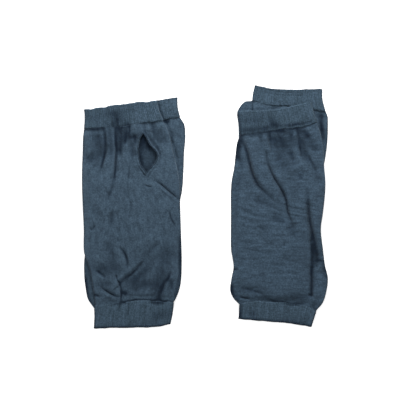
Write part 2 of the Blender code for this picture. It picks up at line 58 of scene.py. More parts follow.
# How high each flattened tube stands
BAND_HEIGHT = 3.8
UPPER_HEIGHT = 4.6
UNDER_HEIGHT = 4.4
UPPER_PUFF = 2.5
UNDER_PUFF = 0.4
REST_GAP = 0.1
STACK_Z = 5.2
PLUMP_RAMP = 9.0  # how far from its seams a body is full
SAG_WIDTH = 7.0  # how far in from an edge the cloth droops
SEAM_DROP = 0.15  # how much thinner the body is than its band where it is knitted on
SEAM_TUCK = 0.5  # how far the body's end runs inside the band's

# Cast-on edges
EDGE_BEAD = 0.35
EDGE_WIDTH = 1.3
BEAD_AT = 0.4  # its middle, from the lip

# The thumb hole and its cast-off edge
HOLE_LIFT = 0.7  # how far the cloth stands up round the thumb hole
HOLE_RIM = 2.2  # how far from the hole it does
HOLE_STRETCH = 0.9  # how much wider the slack hole lies than the solid's
TURNED_HOLE_SHIFT = 150.0  # from the left warmer's thumb hole to the right one's, which faces down
EDGE_RADIUS = 0.85
EDGE_INSET = 0.45
EDGE_SINK = 0.45  # how far the middle of its roll lies below the cloth's top
# painted shade all over the cast-off edge
EDGE_SHADE = 0.65

# The shape of a crease, in its own widths
BROAD = 3.0  # the shallow hollow round its narrow core
CORE_SHARE = 0.6  # how much of its depth is the core's
RIDGE_AT, RIDGE_WIDTH = 1.9, 1.2
LEAN_AT, LEAN_WIDTH, LEAN = 0.9, 0.8, 0.7  # how its ridge leans over it
# how wide the shade painted in its core is
SHADE_WIDTH = 0.9
DIES_OUT = 2.2  # past this many widths a bump is nothing
FADE_IN, FADE_OUT = 0.3, 0.35  # shares of its run

# How much shade is painted on the yarn, from 0 to 1
DARKEST_DEPTH = 2.2  # millimetres of crease from which it is no darker
STEEP_SHADE = 1.6  # a crease is paler where it is wider than this many times its depth
SHADE_GAIN, SHADE_POWER = 1.55, 1.9
# painted shade on the inside of a wall
INSIDE_SHADE = 0.6
TURNED_SHADE = 0.85  # painted shade where a wall turns under
TURNED_BAND_SHADE = 0.4  # the same on the hand bands underneath

SOFT_STOP = 0.3  # how softly the top wall comes to rest on the bottom one
ROUNDED_ENDS = (0.35, 0.2)  # how far the outside of a band or cuff is taken in at its two ends
WELD = 1e-7  # metres
MATH, NOISE = "ShaderNodeMath", "ShaderNodeTexNoise"

# The photo's frame
PHOTO_PIXELS = 416
PIXEL = 1.08
PIXEL_HEIGHT = 7.0  # how high above the surface a pixel is that size
FRAME_MIDDLE = (2.97, -0.7)

# One line across a flattened tube. q1, mid and q3 are how far the line bows towards +Y at its quarters,
# and sag_l and sag_r are how far an upper warmer's edges droop beside the one under it.
Section = namedtuple("Section", "left_x left_y right_x right_y q1 mid q3 sag_l sag_r", defaults=(0.0,) * 5)

# A crease through points. It is depth deep, or raised where that is below 0, and width wide. start and end
# say how much of the depth is left at its two ends. trail is how wide it is on the side where the cloth
# only slopes away, and ridge is how high the cloth stands up beside it: each is to the left of the
# crease's run where it is above 0, and to the right where it is below.
Crease = namedtuple("Crease", "points depth width start end trail ridge", defaults=(0.0,) * 4)

LEFT_UPPER_BAND = [
    Section(-131, 105.9, -52.5, 114.8, 0, 1, 1, 2),
    Section(-130.2, 97, -50, 104.5, 0, 0.5, 0.5, 2),
    Section(-131, 84.5, -45.5, 93, 0, -1, 0, 2),
]
LEFT_UPPER_BODY = [
    LEFT_UPPER_BAND[-1],
    Section(-132.1, 75, -39.5, 80.5, 0, -0.8, 0, 2),
    Section(-132.5, 60, -35, 62, 0, -0.4, 0, 2),
    Section(-133.2, 41, -30, 41, sag_l=2),
    Section(-133.2, 22, -27, 22, sag_l=2),
    Section(-132.5, 2, -27, 3, sag_l=1.8),
    Section(-131.3, -24.5, -26.2, -24.5, sag_l=1.2, sag_r=0.5),
    Section(-131, -48, -25.4, -50, 0, 0.2, 0.3, 0.3, 1.2),
    Section(-126.5, -61, -25.4, -64.5, 0, 0.5, 0.6, 0, 1.2),
    Section(-123, -75, -26, -78.5, 0.2, 1, 1, 0, 0.6),
    Section(-121.2, -88, -28.2, -90, 0.5, 1.8, 1.8),
    Section(-119.6, -98, -31.6, -98.5, 0.8, 2.5, 2.5),
    Section(-119.1, -105.2, -34, -102.8, 1, 3, 3),
]
LEFT_UPPER_CUFF = [
    LEFT_UPPER_BODY[-1],
    Section(-119.6, -118, -35.6, -115.5, 0.5, 1, 0.5),
    Section(-120.2, -130.9, -38, -125.9, -0.5, -1.4, -2.4),
]
LEFT_UNDER_BAND = [
    Section(-110.5, 106.1, -30.5, 119.1, 0, 0.3, 0.2),
    Section(-110.5, 95, -29.8, 107, 0, 0.2, 0.3),
    Section(-110.5, 84.5, -27.3, 97.5),
]
LEFT_UNDER_BODY = [
    LEFT_UNDER_BAND[-1],
    Section(-117, 76, -22.6, 89.5),
    Section(-121.5, 62, -21.4, 77),
    Section(-123.5, 44, -22.8, 60),
    Section(-124.5, 22, -23.6, 38),
    Section(-124.5, 0, -25.4, 16),
    Section(-124.5, -20, -31, -6),
    Section(-126.2, -37, -34, -26),
    Section(-130.6, -54, -34.5, -46),
    Section(-131, -73, -34, -66),
    Section(-129.2, -89, -34.5, -82),
    Section(-126.6, -100, -37.5, -94),
    Section(-120.6, -108.5, -42, -101.5),
]
LEFT_UNDER_CUFF = [
    Section(-120.2, -108.5, -42, -101.5),
    Section(-119.3, -131.6, -46.5, -127.2, 0, -0.9, -1.2),
]
RIGHT_UPPER_BAND = [
    Section(34.5, 103.5, 114, 113.5, -1.5, -3, -1.5),
    Section(37, 92.5, 117, 103.5, -1.5, -2.3, -2),
    Section(37.5, 79, 120.5, 92, -1.5, -1.5, -2.5),
]
RIGHT_UPPER_BODY = [
    RIGHT_UPPER_BAND[-1],
    Section(34.2, 69.5, 125, 78.5, -1.2, -1.2, -2),
    Section(32.6, 56.5, 127.8, 62, -0.6, -0.8, -1),
    Section(31.1, 42.5, 128.4, 45.5, 0, -0.4, -0.4, 0.2),
    Section(28.3, 27.5, 129.9, 28, sag_l=1, sag_r=0.5),
    Section(27.6, 12.5, 129.3, 12.5, sag_l=1.5, sag_r=1.2),
    Section(27.7, -7, 127.2, -6.5, sag_l=1.5, sag_r=1.4),
    Section(27.6, -26.5, 125, -23.5, sag_l=1.5, sag_r=1.2),
    Section(27.9, -46, 127.4, -46, 0.5, 0.5, 0.5, 1.5, 1.5),
    Section(30.5, -64, 129.5, -63, 1, 1, 1, 0.8, 1.5),
    Section(28.2, -77.5, 132.6, -77, 2, 2, 2, 1.2, 1.5),
    Section(27, -90.5, 130.8, -92, 3.5, 4, 4, 0.5, 1),
    Section(31, -99.8, 126.8, -104.5, 5, 5.8, 6),
    Section(36.6, -105.2, 120, -113, 6, 7, 7),
]
RIGHT_UPPER_CUFF = [
    RIGHT_UPPER_BODY[-1],
    Section(36.4, -112.5, 117.3, -120.8, 3.3, 4.2, 4.2),
    Section(36, -120.4, 114.2, -129.4, 0.3, 1, 1.2),
]
RIGHT_UNDER_BAND = [
    Section(53.8, 132.8, 126.6, 128.1, -3, -3, -1.5),
    Section(51.6, 124, 126.8, 117, -2.7, -1.7, -0.5),
    Section(50.8, 116.4, 130.4, 103.6, -2.5, -0.5),
]
RIGHT_UNDER_BODY = [
    Section(50.6, 116.4, 130.6, 103.6, -2.5, -0.5),
    Section(42.6, 114.7, 132.5, 98.5, -2, -0.5),
    Section(37.3, 109, 132.7, 92, -1.5),
    Section(34.4, 102, 132.7, 84.5, -1),
    Section(35.8, 89, 132.4, 75),
    Section(36, 72.5, 131.2, 62),
    Section(35.5, 51, 128.5, 46),
    Section(35, 28, 124, 28),
    Section(35, 6, 120.5, 6),
    Section(35, -36, 118.5, -36),
    Section(36, -78, 121, -80),
    Section(37, -94, 117, -98),
    Section(41, -101.5, 112.5, -106.5),
]
RIGHT_UNDER_CUFF = [
    RIGHT_UNDER_BODY[-1],
    Section(39.5, -118, 110, -124.5),
]

LEFT_UPPER_CREASES = [
    # below the hand band
    Crease(((-111.5, 88.9), (-108.8, 81.4), (-107.5, 70.6), (-107.7, 59.8), (-109.9, 50.1),
            (-113.1, 40.3), (-116.4, 31.7)), 2, 2, 0.8, 0, -9, 0.6),
    Crease(((-97, 97.6), (-96.2, 88.9), (-96.6, 79.2), (-96.4, 68.4), (-96, 59.8), (-96.6, 49),
            (-97.4, 38.2), (-98.2, 31.7)), 3.2, 1.8, 1, 0.3, 6, -0.4),
    Crease(((-96.9, 40.3), (-98.2, 31.7), (-99.6, 24.1), (-102.7, 15.5), (-105.6, 7.9),
            (-108.3, 1.5)), 1.5, 2.8, 0.6, 0, 4, -0.5),
    Crease(((-115.3, 87.9), (-114.7, 78.1), (-116.4, 70.6)), 0.7, 1.8, 1),
    Crease(((-89.7, 87.9), (-90.6, 79.2), (-91.5, 71.7)), 1, 1, 1, ridge=0.2),
    Crease(((-81.8, 91.1), (-81.5, 83.5), (-82.9, 76)), 1.1, 1, 1, ridge=0.2),
    Crease(((-92.1, 79.2), (-84.5, 78.1), (-75.9, 79.8)), 0.9, 5, 0.5, 0.5),
    Crease(((-77, 79), (-75.5, 73), (-75.9, 66)), 1.6, 1.8, 0.3),
    Crease(((-65.5, 90), (-65.1, 83.5), (-64.4, 77.6)), 1, 2.2, 1, 0.8),
    Crease(((-58, 90), (-55.3, 79.2), (-54.3, 69.5)), 1.2, 2.2, 1, 0, 4),
    Crease(((-81.5, 50.1), (-81.8, 40.3), (-83.2, 29.5), (-83.8, 20.9), (-84, 13.3)), 0.8, 1.2, ridge=0.3),
    # along the seams, where the gathers pull in hardest
    Crease(((-130, 83.9), (-120, 84.4), (-109, 85.4)), 1.9, 1.4, 0.8, 0.6),
    Crease(((-68, 89.4), (-58, 90.8), (-48, 91.9)), 0.6, 1.4, 0.2, 0.8),
    Crease(((-92, -102.6), (-75, -100.6), (-58, -100.4), (-36, -101.8)), 1.7, 1.6, 0.6, 0.8),
    # round the thumb hole
    Crease(((-73.5, 49), (-69.4, 40.3), (-65.1, 34.9), (-61, 28.5)), 0.6, 0.9, 0.6, ridge=0.5),
    Crease(((-53.7, 42.5), (-58, 37.6), (-61, 32.8), (-62.4, 26.8)), 0.5, 0.9, 0.6, ridge=0.4),
    Crease(((-66.1, 25.8), (-61.8, 22.8), (-54.8, 22.2)), 1.1, 1, 0, 0, -3, 0.6),
    Crease(((-54.3, 28.5), (-48.9, 25), (-43.5, 20.4), (-38.1, 15.7), (-32.7, 11.4),
            (-26.2, 6.3)), 2.4, 1.4, 0.3, 0.3, 2.5, -1.4),
    # down the middle
    Crease(((-80.4, 9), (-80, -0.7), (-80.4, -7.3)), 1, 1.4),
    Crease(((-99.8, -1), (-101, -12), (-103, -24)), 1.6, 2.8, ridge=0.2),
    Crease(((-39.1, -0.7), (-37.5, -9.3), (-35.4, -14.7), (-31.5, -22.1)), 1.8, 1.3, 0, 0.2, ridge=0.4),
    Crease(((-124.7, -26.1), (-121.8, -22.8), (-117.1, -18.5)), 1.3, 1.5, ridge=0.3),
    Crease(((-101.2, -28.8), (-96.4, -33.6), (-91.5, -39)), 0.7, 1.5, ridge=0.2),
    Crease(((-94.2, -40.1), (-89.9, -45.5), (-86.7, -49.8), (-84.5, -55.8), (-84, -62.3),
            (-85.6, -69.3)), 1.6, 1.8, 0, 0.2, ridge=0.5),
    Crease(((-117.4, -63.3), (-108.3, -61.7), (-97.5, -62.8), (-93.1, -67.7)), 0.9, 4, 0, 0.4),
    # drawn in above the cuff
    Crease(((-51.9, -33.1), (-53, -39.6), (-56.4, -43.9), (-62.4, -50.4), (-67.2, -57.9),
            (-71.5, -62.8)), 1, 3, 0, 0.6, 8, -0.5),
    Crease(((-69.4, -60.6), (-74.8, -66.6), (-80.2, -72), (-85.6, -75.4), (-90.4, -80.1),
            (-92.9, -82.8)), 3.2, 1.7, 0.5, 1, 9, -1.2),
    Crease(((-96.4, -71.4), (-95.3, -76.8), (-92.9, -82.6)), 1.6, 1, 0, 1, ridge=0.4),
    Crease(((-93.1, -80.6), (-91.2, -87.1), (-91, -96.8), (-91.5, -106.5)), 3.2, 1.6, 0.8, 1, 8, -0.9),
    Crease(((-111, -88), (-105.6, -91.6), (-100.7, -94.4), (-94.8, -97)), 3.4, 1.7, 0.4, 0.5, 2.5, -1.3),
    Crease(((-122.8, -92.1), (-118.5, -95), (-112.8, -96.3)), 2.4, 1.6, 0.4, 0.3, ridge=-0.6),
    Crease(((-117.8, -67.7), (-112.6, -72), (-106.3, -75.9)), 1.8, 1.8, 0.2, 0.2, ridge=-0.6),
    Crease(((-36.4, -65.5), (-40, -76.3), (-45.4, -82.8), (-47.8, -89.3), (-48.9, -95.7),
            (-49.1, -105.5)), 2.8, 2, 0.1, 1, -8, 0.7),
    Crease(((-88.8, -97.9), (-73.7, -95.2), (-58.6, -94.7), (-48.9, -97.9)), 0.7, 6, 0.3, 0.5),
    Crease(((-59.1, -99.2), (-54.3, -101.7), (-47.8, -102.8), (-38.6, -99.2)), 1.2, 1.2, 0.5, 0.5),
    Crease(((-90.1, -104), (-84.5, -101.4), (-68, -100)), 1.6, 1.8, 0.6),
    # raised between the folds above the cuff
    Crease(((-101.5, -78), (-98, -90)), -1.2, 2.6, 0.5, 0.5),
    # hollows and swells of the slack cloth
    Crease(((-126, -4), (-110, -5)), 1.5, 6),
    Crease(((-94, 82), (-76, 78)), 1.5, 5, 0.9, 0.6),
    Crease(((-96, 92), (-94.5, 82), (-94, 62)), 2, 4, 1, 0.3),
    Crease(((-90.5, 85.8), (-84, 87), (-78.5, 87.8)), 1.2, 1.5, 0.4, 0.3),
    Crease(((-90, -91), (-84, -94)), 2.2, 2.4, 0.6, 0.3),
    Crease(((-117, 82), (-114, 66), (-115, 46)), 2.8, 7, 0.6, 0.2),
    Crease(((-119, -66), (-97, -69)), 2.3, 7, 0.6, 0.6),
    Crease(((-117, -84), (-98, -82)), 1.9, 5, 0.6, 0.3),
    Crease(((-106, -34), (-97, -64)), 2.1, 6, 0.2, 0.6),
    Crease(((-38, -36), (-46, -68), (-52, -97)), 3, 9, 0.4, 1),
    Crease(((-83, -77), (-71, -73), (-60, -62)), 1.8, 5, 0.6, 0.3),
    Crease(((-84, -82), (-68, -84), (-52, -82)), 2.4, 7, 0.6, 0.6),
    Crease(((-87, -90), (-70, -92)), 1.6, 6, 0.6, 0.6),
    Crease(((-27.5, -20), (-27.5, -50), (-28.5, -78), (-33.5, -100)), 1.4, 2, 0.1, 1),
    Crease(((-54, -46), (-60, -74)), 1.4, 6, 0.3, 0.3),
    Crease(((-45, -80), (-46.5, -92)), 1.2, 2.6, 0.3, 0.3),
    Crease(((-92.8, 85), (-90.5, 74), (-92.5, 50)), 1.6, 2.8, 0.9, 0.2),
    Crease(((-89.2, 86), (-88.8, 77)), -0.9, 1.6, 0.6, 0.3),
    Crease(((-82, 74), (-78.5, 64), (-79, 50)), 1.8, 3.6, 0.5, 0.4),
    Crease(((-86.2, 83), (-85.6, 75), (-87, 66)), 2, 2.6, 0.8, 0.2),
    Crease(((-85, 87), (-79, 84)), 1.2, 3, 0.6, 0.3),
    Crease(((-81.5, 76), (-77.5, 75.5), (-73.5, 76)), 1.5, 2.6, 0.5, 0.5),
    Crease(((-76.2, 90), (-77.6, 83)), -1.3, 2, 0.6, 0.3),
    Crease(((-72.2, 52), (-72.2, 66), (-68.5, 79)), 2.2, 1.5, 0.2, 0.5),
    Crease(((-60, 88), (-61.5, 82)), -1.3, 2.4, 0.6, 0.3),
    Crease(((-63, 80), (-57, 71.5), (-50.5, 63), (-47.5, 54)), 1.2, 2, 0.2, 0.5),
    Crease(((-53.5, 88), (-51, 79), (-48.5, 66)), 1.4, 3.6, 0.6, 0.3),
    Crease(((-104, 86), (-102.5, 72), (-101.5, 50)), 1.7, 3.2, 0.8, 0.3),
    Crease(((-90, 62), (-80, 58)), 0.9, 4.5, 0.4, 0.4),
    Crease(((-44, 92.5), (-38.8, 79), (-34.2, 60), (-29.8, 41)), -0.8, 1.5, 0.8, 0.3),
    Crease(((-46, 77), (-40, 67)), 1.4, 3.5, 0.4, 0.4),
    Crease(((-127, 57), (-120, 47)), 2.8, 6.5, 0.5, 0.4),
    Crease(((-51, -86), (-50.5, -101)), 1.3, 3.4, 0.3, 1),
    Crease(((-37, -76), (-36, -92)), 1.8, 4, 0.3, 0.6),
]
LEFT_BAND_CREASES = [
    Crease(((-96.2, 97.6), (-94.9, 92.2), (-94, 84.6)), 1.3, 1.3, 0, 1, 4, -0.4),
    Crease(((-105, 103), (-97.5, 99.7), (-94.2, 90)), 1.4, 4.5, 0.2, 0.8),
    Crease(((-102, 97), (-84, 95)), 1.8, 6, 0.4, 0.5),
    Crease(((-92, 87.5), (-84, 88.6), (-77, 89.4)), 1.5, 1.5, 0.4, 0.3),
    Crease(((-110, 94), (-104, 87)), 1.3, 4, 0.3, 0.8),
    Crease(((-124, 95), (-104, 102), (-84, 104.5), (-68, 106)), 1.3, 4.5, 0.7, 0.3),
    Crease(((-100, 93), (-97, 85)), 2.2, 3.6, 0.3, 1),
    Crease(((-86, 93), (-84, 87)), 1.8, 3.4, 0.3, 1),
    Crease(((-117, 96), (-116, 87)), 1.1, 4, 0.5, 0.8),
]
LEFT_CUFF_CREASES = [
    Crease(((-82.3, -103.3), (-82.9, -111.9), (-83.2, -120.6)), 0.8, 1.2, 1, ridge=0.2),
    Crease(((-91.5, -103.3), (-93.1, -109.8), (-93.6, -115.2)), 0.9, 1.5, 1),
    Crease(((-60, -119), (-40, -115)), 2, 7, 0.2, 0.8),
    Crease(((-72, -126), (-52, -125)), 0.9, 3, 0.2, 0.4),
    Crease(((-61, -101), (-51, -103.4), (-42, -101.6)), 2.4, 1.8, 0.3, 0.3),
    Crease(((-102, -105), (-92, -103.6), (-82, -101.8)), 1.4, 1.8, 0.3, 0.3),
]
RIGHT_BAND_CREASES = [
    Crease(((38, 94), (68, 93)), 1.8, 6, 0.8, 0.3),
    Crease(((38, 83), (58, 84), (78, 88)), 1.9, 4, 0.8, 0.6),
    Crease(((66, 99), (79, 91)), 1.5, 4.5, 0.2, 0.8),
    Crease(((82, 87.6), (98, 89.4), (114, 92.2)), 1.9, 2.2, 0.4, 0.6),
    Crease(((70, 92), (77, 88)), 1.4, 3, 0.3, 0.8),
    Crease(((50, 100), (66, 99)), 0.9, 3.4, 0.3, 0.3),
    Crease(((97, 104), (101, 97)), 0.9, 3, 0.3, 0.3),
]
RIGHT_CUFF_CREASES = [
    Crease(((80, -121), (112, -124)), 1, 4, 0.3, 0.8),
    Crease(((38, -106), (38, -119)), 1.6, 2.4, 0.8, 0.8),
    Crease(((46, -114), (56, -116)), 1.6, 4, 0.4, 0.4),
    Crease(((82, -103.6), (94, -104.6), (105, -105.6)), 1.5, 2, 0.3, 0.3),
]
RIGHT_UPPER_CREASES = [
    # below the hand band
    Crease(((39.2, 76), (42.3, 68.4), (45.6, 59.8), (48.3, 49), (50.6, 39.3), (53.6, 31), (58.2, 22.8),
            (65.2, 16.2), (71.6, 9.8)), 3.8, 2.6, 0.4, 0.3, -3.5, 1.8),
    Crease(((59.7, 80.3), (60.2, 69.5), (61.3, 59.8)), 0.8, 2.2, 1),
    Crease(((67.6, 82.5), (68.4, 72.7), (71, 64.1), (73.4, 57.1)), 1, 2.1, 1, 0, 3, -0.7),
    Crease(((70.4, 85.7), (69.9, 77.1), (71.2, 69)), 1.2, 1.2, 1),
    Crease(((71.5, 78), (76, 73.5), (82, 70.5), (88.5, 73)), 0.5, 1.8, 0.3, 0.2, 3, -0.4),
    Crease(((78, 80.8), (80.2, 76), (83.4, 73.3)), 0.8, 1, 0.5),
    Crease(((98, 87.9), (100, 79.2), (101.5, 70.6), (102.9, 59.8), (105, 52.2),
            (108.6, 46.3)), 1.5, 2.2, 1, 0, 5, -0.8),
    Crease(((109.9, 60.3), (114.2, 50.1), (118.5, 42.5), (122, 35.5)), 1, 1.7),
    # along the seam, where the gathers pull in hardest
    Crease(((40, 78.3), (56, 80.3), (74, 83.6)), 1.4, 1.8, 0.8, 0.6),
    Crease(((72, 83), (84, 84.6), (100, 87.2), (114, 89.6)), 1.8, 2.6, 1, 0.6),
    # the long folds
    Crease(((65.9, 58.2), (67.2, 50.1), (70.3, 41.4), (73.5, 34.4), (77.8, 26.8), (82.5, 19.3),
            (86.4, 11.7), (88.5, 4.7), (89.5, -3.9), (91.8, -11.5), (95, -19.1),
            (99, -27)), 3.7, 1.9, 0.4, 0.1, -4, 1.6),
    Crease(((110.6, 17.5), (111.2, 9), (112, -1.8), (113.2, -13.7), (115.2, -24.5), (118, -35.3),
            (120.4, -46.1), (122.4, -58)), 3.8, 2.3, 0.3, 0.6, -3, 0.7),
    Crease(((123, 2), (123.5, -12), (124.5, -30), (128, -54)), -1.6, 3.2, 0.3, 0.3),
    Crease(((107, 20), (109, 0), (113, -28)), 1.1, 4, 0.3, 0.3),
    Crease(((115.2, -26.8), (117.2, -41.7), (119, -52.5), (118.8, -62.5)), 3.8, 2.8, 0.1, 0.3, ridge=0.8),
    Crease(((114.2, -22), (115, -40), (115.5, -57.9), (115.2, -69.8), (115.2, -80.6),
            (114.8, -95)), 2.8, 1.8, 0.1, 0.6, ridge=0.9),
    Crease(((118, -58.2), (123.4, -56.9), (127.7, -60.3)), 1.3, 1.2, 0.6, ridge=-0.4),
    # across the lower half, and at its edges
    Crease(((35.4, -43.9), (45.1, -45), (55.9, -48.2), (66.7, -50.9), (79.1, -50.4)), 0.5, 1.3, ridge=-0.3),
    Crease(((38.6, -48.2), (50.5, -49.3), (62.4, -52.8)), 0.5, 1.3),
    Crease(((66.2, -63.3), (78.6, -63.6), (87.2, -65.5), (94.2, -67.9)), 0.6, 1.4, ridge=-0.2),
    Crease(((81.3, -52), (85.6, -54.9), (92.8, -58.2)), 0.9, 2),
    Crease(((57.2, -18.8), (60.8, -23.4), (65.4, -26.4)), 0.9, 1.4, ridge=-0.2),
    Crease(((69.7, -37.4), (73, -41.2)), 0.8, 1.2),
    Crease(((85, -36.6), (85.5, -43.4)), 0.9, 1.3),
    Crease(((35.4, -96), (41.8, -97.7), (49.6, -99)), 2.1, 1.4, 0.3, ridge=-0.6),
    Crease(((40.4, -86.8), (50.6, -89.7), (59.1, -92.2), (67.2, -95.3)), 1.1, 1.8, 0.4, 0.2, ridge=-0.6),
    Crease(((64.5, -98), (74.2, -101), (85, -103.2), (95.9, -104.4), (107.7, -102.9)), 2.4, 2.2, 0.3, 0.4),
    Crease(((27.6, -65.9), (32.7, -67.2), (37.5, -66.6)), 1.5, 1.3, 1),
    Crease(((119.6, -61.7), (122, -66)), 0.9, 1.2),
    Crease(((110.4, -92.3), (114.2, -94.9), (118.3, -92.5)), 1, 1.2),
    Crease(((114.8, -104.4), (118, -109.8), (119.1, -114.1)), 1, 1.3, 0, 0.6),
    # hollows and swells of the slack cloth
    Crease(((74, 84), (78, 77), (86, 72)), 0.9, 4.5, 0.8, 0.3),
    Crease(((72, 76), (77, 67), (78, 58)), 1.4, 3.6, 0.6, 0.3),
    Crease(((81, 68), (90, 66)), 1.1, 3.6, 0.4, 0.3),
    Crease(((86, 82), (84.5, 76)), -0.9, 2, 0.6, 0.3),
    Crease(((93, 84), (93, 74)), 1.2, 2.6, 0.8, 0.3),
    Crease(((102, 84), (108, 80), (114, 73)), 2.4, 4, 0.8, 0.3),
    Crease(((108, 62), (112, 46)), 1.4, 4, 0.3, 0.3),
    Crease(((112, 70), (123, 58)), 1.3, 4, 0.3, 0.3),
    Crease(((104, 80), (106, 66), (110, 50)), 1.3, 3, 0.4, 0.4),
    Crease(((92, 62), (96, 48)), 1.5, 3.2, 0.4, 0.4),
    Crease(((36, 72), (35, 60), (40, 44)), 1.6, 3.6, 0.6, 0.5),
    Crease(((84, 68), (90, 50)), 2, 9, 0.8, 0.3),
    Crease(((106, 44), (100, 26)), 0.9, 5, 0.3, 0.3),
    Crease(((70, -9), (80, -14), (90, -17)), 1.6, 4, 0.2, 0.2),
    Crease(((39, 86), (36, 70), (34.5, 54)), 3, 4.2, 1, 0.5),
    Crease(((66, 76), (90, 73), (118, 66)), 2.2, 9, 0.6, 0.6),
    Crease(((76, 58), (82, 48), (94, 36)), 2.2, 8, 0.5, 0.3),
    Crease(((78, 83.5), (90, 80.5)), 1.6, 3, 0.5, 0.5),
    Crease(((101, 36), (105, 29)), 1.4, 3.5, 0.5, 0.3),
    Crease(((39, 44), (36, 26), (33, -6), (32, -42)), 1.3, 4.2, 0.6, 0.4),
    Crease(((28, -80), (29.5, -92), (35, -101)), 1.8, 2.8, 0.3, 0.8),
    Crease(((115.8, -60), (115.2, -96)), 1.6, 3.4, 0.6, 0.4),
    Crease(((50, 9), (64, 5), (78, -1)), 1.5, 5, 0.3, 0.3),
    Crease(((90, -17), (94, -27), (101, -35)), 1.8, 5, 0.3, 0.3),
    Crease(((115, 48), (121, 34), (124, 20)), 1.4, 4, 0.3, 0.3),
    Crease(((58, 81), (60, 72)), 1.3, 3.2, 0.9, 0.3),
    Crease(((46, 77), (56, 78)), 1.2, 2.4, 0.5, 0.5),
    Crease(((127.5, -62), (131, -80)), 1.7, 3.6, 0.6, 0.2),
    Crease(((30, -87), (56, -91)), 1.6, 5, 0.6, 0.6),
    Crease(((88, -97), (110, -97)), 1.8, 4.5, 0.3, 0.8),
]
LEFT_UNDER_CREASES = [
    Crease(((-47.2, 95.2), (-40.8, 93), (-37, 94.3)), 2, 2.4, 0.8),
    Crease(((-37.5, 78.1), (-36.1, 73.3), (-34.8, 66.3)), 1, 1.3, ridge=0.3),
    Crease(((-31.6, 66), (-26.2, 64.6)), 0.6, 1, ridge=0.2),
    Crease(((-31, 59.8), (-26, 58.9)), 0.6, 1, ridge=0.2),
    Crease(((-31.4, 55.2), (-26.4, 54.2)), 0.6, 1, ridge=0.2),
    Crease(((-43, 94.5), (-36.8, 79.7), (-32.2, 62), (-27.8, 43)), 1.2, 1.8, 0.6, 0.3),
    Crease(((-36, 84), (-32.5, 74)), 0.8, 2.2, 0.3, 0.3),
    Crease(((-127.7, -62.3), (-126.8, -75.2), (-124.5, -87.1), (-120.7, -99)), 0.5, 2.2),
    Crease(((-130, -70), (-128.6, -90), (-123.5, -104)), 1.9, 2.8, 0.3, 0.8),
]
LEFT_UNDER_BAND_CREASES = [
    Crease(((-36, 117), (-34.5, 102)), -1.8, 4.5, 0.6, 0.8),
    Crease(((-50.8, 114.5), (-48.3, 104.5), (-43.8, 94)), 1.1, 1.5, 0.6, 0.8),
]
RIGHT_UNDER_BAND_CREASES = [
    Crease(((55.5, 128.6), (78, 124.9), (100, 123.6), (124, 123.3)), 0.5, 0.7, 0.3, 0.3),
    Crease(((55, 125.6), (78, 121.9), (100, 120.6), (122, 120)), 0.6, 0.8, 0.6, 0.2),
    Crease(((123.5, 127), (125, 108)), -1.5, 4, 0.6, 0.6),
]
RIGHT_UNDER_CREASES = [
    Crease(((37, 106.2), (54, 106.2), (74, 107.4), (92, 110.8)), 0.9, 1.2, 0.5, 0.3),
    Crease(((114, 101), (130, 98)), 1.2, 2.4, 0.7, 0.7),
    Crease(((50.8, 115.4), (51.1, 107.3), (50.3, 102.4)), 1.4, 1.2, 1, 0.6, ridge=-0.5),
    Crease(((88.8, 113.8), (89.9, 107.3)), 0.7, 1.5, 1, 0.5),
    Crease(((73.7, 113.8), (73.2, 106.2)), 0.8, 1.8, 1, 0.5),
    Crease(((116.9, 107.3), (118.3, 99.7), (120.2, 92.2)), 0.3, 2, 1),
    Crease(((125, 99), (125, 92), (127, 80), (128.5, 66)), 2.2, 3.2, 1, 0.2),
]

# The thumb hole, from its hand end down: how far its left and right edges stand from the slit.
HoleRow = namedtuple("HoleRow", "y slit_x left right")
THUMB_HOLE = [
    HoleRow(79.8, -66.8, 0.3, 0.3),
    HoleRow(75, -67, 3.1, 3.5),
    HoleRow(70.5, -66.9, 4.1, 5.4),
    HoleRow(66.5, -66.6, 5.4, 7.8),
    HoleRow(62, -66.2, 6.3, 11.5),
    HoleRow(57.5, -65.8, 6.2, 13.8),
    HoleRow(53.5, -65.4, 6.1, 13.4),
    HoleRow(49, -64.8, 5.7, 11.5),
    HoleRow(44.5, -64.2, 4.4, 7.3),
    HoleRow(40.5, -63.6, 1.9, 3),
    HoleRow(37.4, -63.3, 0.3, 0.3),
]

# A cast-on edge: how much it waves, and how much shade is painted along its lip over how wide a strip.
Edge = namedtuple("Edge", "wave shade shade_width")
BAND_EDGE, CUFF_EDGE = Edge(0.5, 0.6, 0.9), Edge(0.5, 1, 2)
# the upper hand bands, with no painted shade on their lips
PALE_EDGES = {"left_upper_band": Edge(1.4, 0, 0.9), "right_upper_band": Edge(0.5, 0, 0.9)}

# A piece of a warmer: the CAD node it stands for, and columns over its top by rows down its length.
Piece = namedtuple("Piece", "node sections creases upper body columns rows")


def smooth(t):
    """0 to 1 with level ends."""
    t = np.clip(t, 0.0, 1.0)
    return t * t * (3.0 - 2.0 * t)


def bump_at(distance, width):
    """1 at no distance, dying out over the width."""
    return np.exp(-((distance / width) ** 2))


def run_of(sections):
    """How far along the tube each section lies."""
    table = np.array(sections)
    middle = (table[:, 0:2] + table[:, 2:4]) / 2.0
    return np.concatenate([[0.0], np.cumsum(np.hypot(*np.diff(middle, axis=0).T))])


def mean_width(sections):
    """How wide a piece lies, over all its rows."""
    return sum(row.right_x - row.left_x for row in sections) / len(sections)


